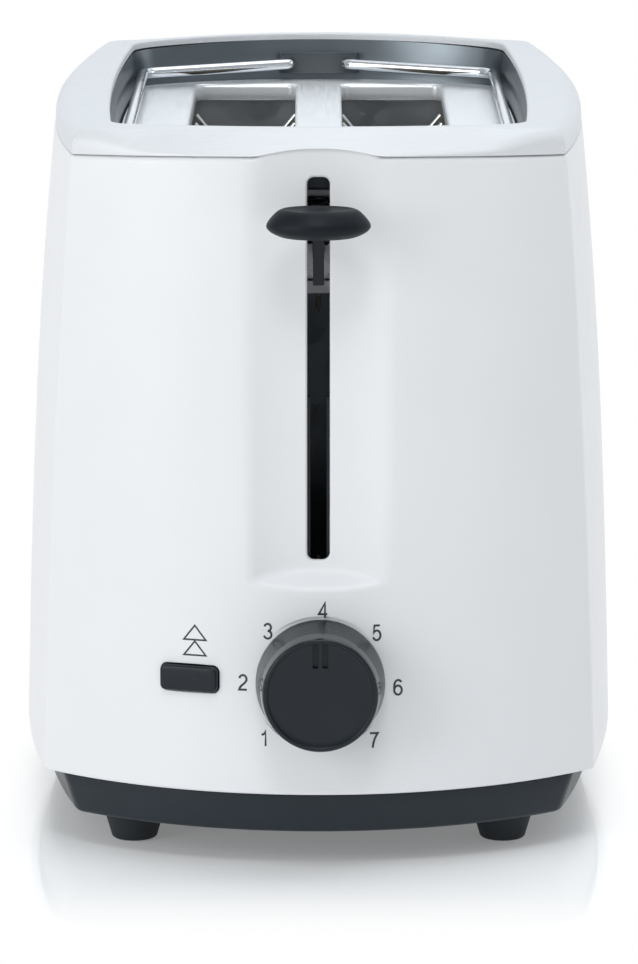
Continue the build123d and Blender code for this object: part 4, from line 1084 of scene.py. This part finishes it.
ex, ey = beyond("X", 0.0, 0.069), beyond("Y", -0.060, 0.060)
ex3 = node(nt, "ShaderNodeMath", operation="MULTIPLY")
nt.links.new(ex, ex3.inputs[0])
ex3.inputs[1].default_value = 3.0
hyp = nt.nodes.new("ShaderNodeCombineXYZ")
nt.links.new(ex3.outputs[0], hyp.inputs[0])
nt.links.new(ey, hyp.inputs[1])
ln_ = node(nt, "ShaderNodeVectorMath", operation="LENGTH")
nt.links.new(hyp.outputs[0], ln_.inputs[0])
fade = node(nt, "ShaderNodeMapRange")
fade.interpolation_type = "SMOOTHSTEP"
fade.inputs["From Min"].default_value = 0.005
fade.inputs["From Max"].default_value = 0.070
nt.links.new(ln_.outputs["Value"], fade.inputs["Value"])
white = nt.nodes.new("ShaderNodeEmission")
white.inputs["Color"].default_value = (1, 1, 1, 1)
white.inputs["Strength"].default_value = 1.0
both = nt.nodes.new("ShaderNodeMixShader")
nt.links.new(fade.outputs[0], both.inputs[0])
nt.links.new(bsdf.outputs[0], both.inputs[1])
nt.links.new(white.outputs[0], both.inputs[2])
outn = [q for q in nt.nodes if q.type == "OUTPUT_MATERIAL"][0]
# seen from below, the floor lets the underside show
geo = nt.nodes.new("ShaderNodeNewGeometry")
clear = nt.nodes.new("ShaderNodeBsdfTransparent")
below = nt.nodes.new("ShaderNodeMixShader")
nt.links.new(geo.outputs["Backfacing"], below.inputs[0])
nt.links.new(both.outputs[0], below.inputs[1])
nt.links.new(clear.outputs[0], below.inputs[2])
nt.links.new(below.outputs[0], outn.inputs[0])
floor.data.materials.append(m)

world = bpy.data.worlds.new("studio")
bpy.context.scene.world = world
world.use_nodes = True
wn = world.node_tree
wn.nodes.clear()
wo = wn.nodes.new("ShaderNodeOutputWorld")
bg_seen = wn.nodes.new("ShaderNodeBackground")
bg_seen.inputs["Color"].default_value = (1, 1, 1, 1)
bg_seen.inputs["Strength"].default_value = 1.0
bg_lit = wn.nodes.new("ShaderNodeBackground")
bg_lit.inputs["Color"].default_value = (0.93, 0.97, 1.0, 1)
tcw = wn.nodes.new("ShaderNodeTexCoord")
spw = wn.nodes.new("ShaderNodeSeparateXYZ")
wn.links.new(tcw.outputs["Generated"], spw.inputs[0])
mrw = wn.nodes.new("ShaderNodeMapRange")
mrw.interpolation_type = "SMOOTHSTEP"
mrw.inputs["From Min"].default_value = 0.15
mrw.inputs["From Max"].default_value = 0.85
mrw.inputs["To Min"].default_value = 0.46
mrw.inputs["To Max"].default_value = 1.0
wn.links.new(spw.outputs[1], mrw.inputs["Value"])
wn.links.new(mrw.outputs[0], bg_lit.inputs["Strength"])
lp = wn.nodes.new("ShaderNodeLightPath")
mx = wn.nodes.new("ShaderNodeMixShader")
wn.links.new(lp.outputs["Is Camera Ray"], mx.inputs[0])
wn.links.new(bg_lit.outputs[0], mx.inputs[1])
wn.links.new(bg_seen.outputs[0], mx.inputs[2])
wn.links.new(mx.outputs[0], wo.inputs[0])


def area(name, loc, target, size, power, color=(1, 1, 1), size_y=None):
    l = bpy.data.lights.new(name, "AREA")
    l.shape = "RECTANGLE"
    l.size, l.size_y = size, size_y or size
    l.energy = power
    l.color = color
    o = bpy.data.objects.new(name, l)
    bpy.context.scene.collection.objects.link(o)
    o.location = loc
    o.rotation_mode = "QUATERNION"
    o.rotation_quaternion = (Vector(target) - Vector(loc)).to_track_quat("-Z", "Y")
    o.visible_camera = False
    return o


area("key_left", (-1.40, -1.30, 0.62), (0, -0.05, 0.1), 0.7, 12.5, (1.0, 0.997, 0.99), 1.2)
area("front_top", (-0.05, -1.0, 1.35), (0, -0.10, 0.12), 0.42, 5.0, (0.99, 0.995, 1.0), 0.42)
area("top_soft", (0.30, 0.15, 1.65), (0, 0, 0.15), 1.5, 9.5, (0.97, 0.99, 1.0))
area("right_fill", (1.8, 0.3, 0.6), (0, 0, 0.1), 1.0, 4.0, (0.94, 0.97, 1.0), 1.4)

scene = bpy.context.scene
scene.view_settings.view_transform = "Standard"
scene.view_settings.look = "None"
scene.view_settings.exposure = 0.0
scene.view_settings.gamma = 1.0
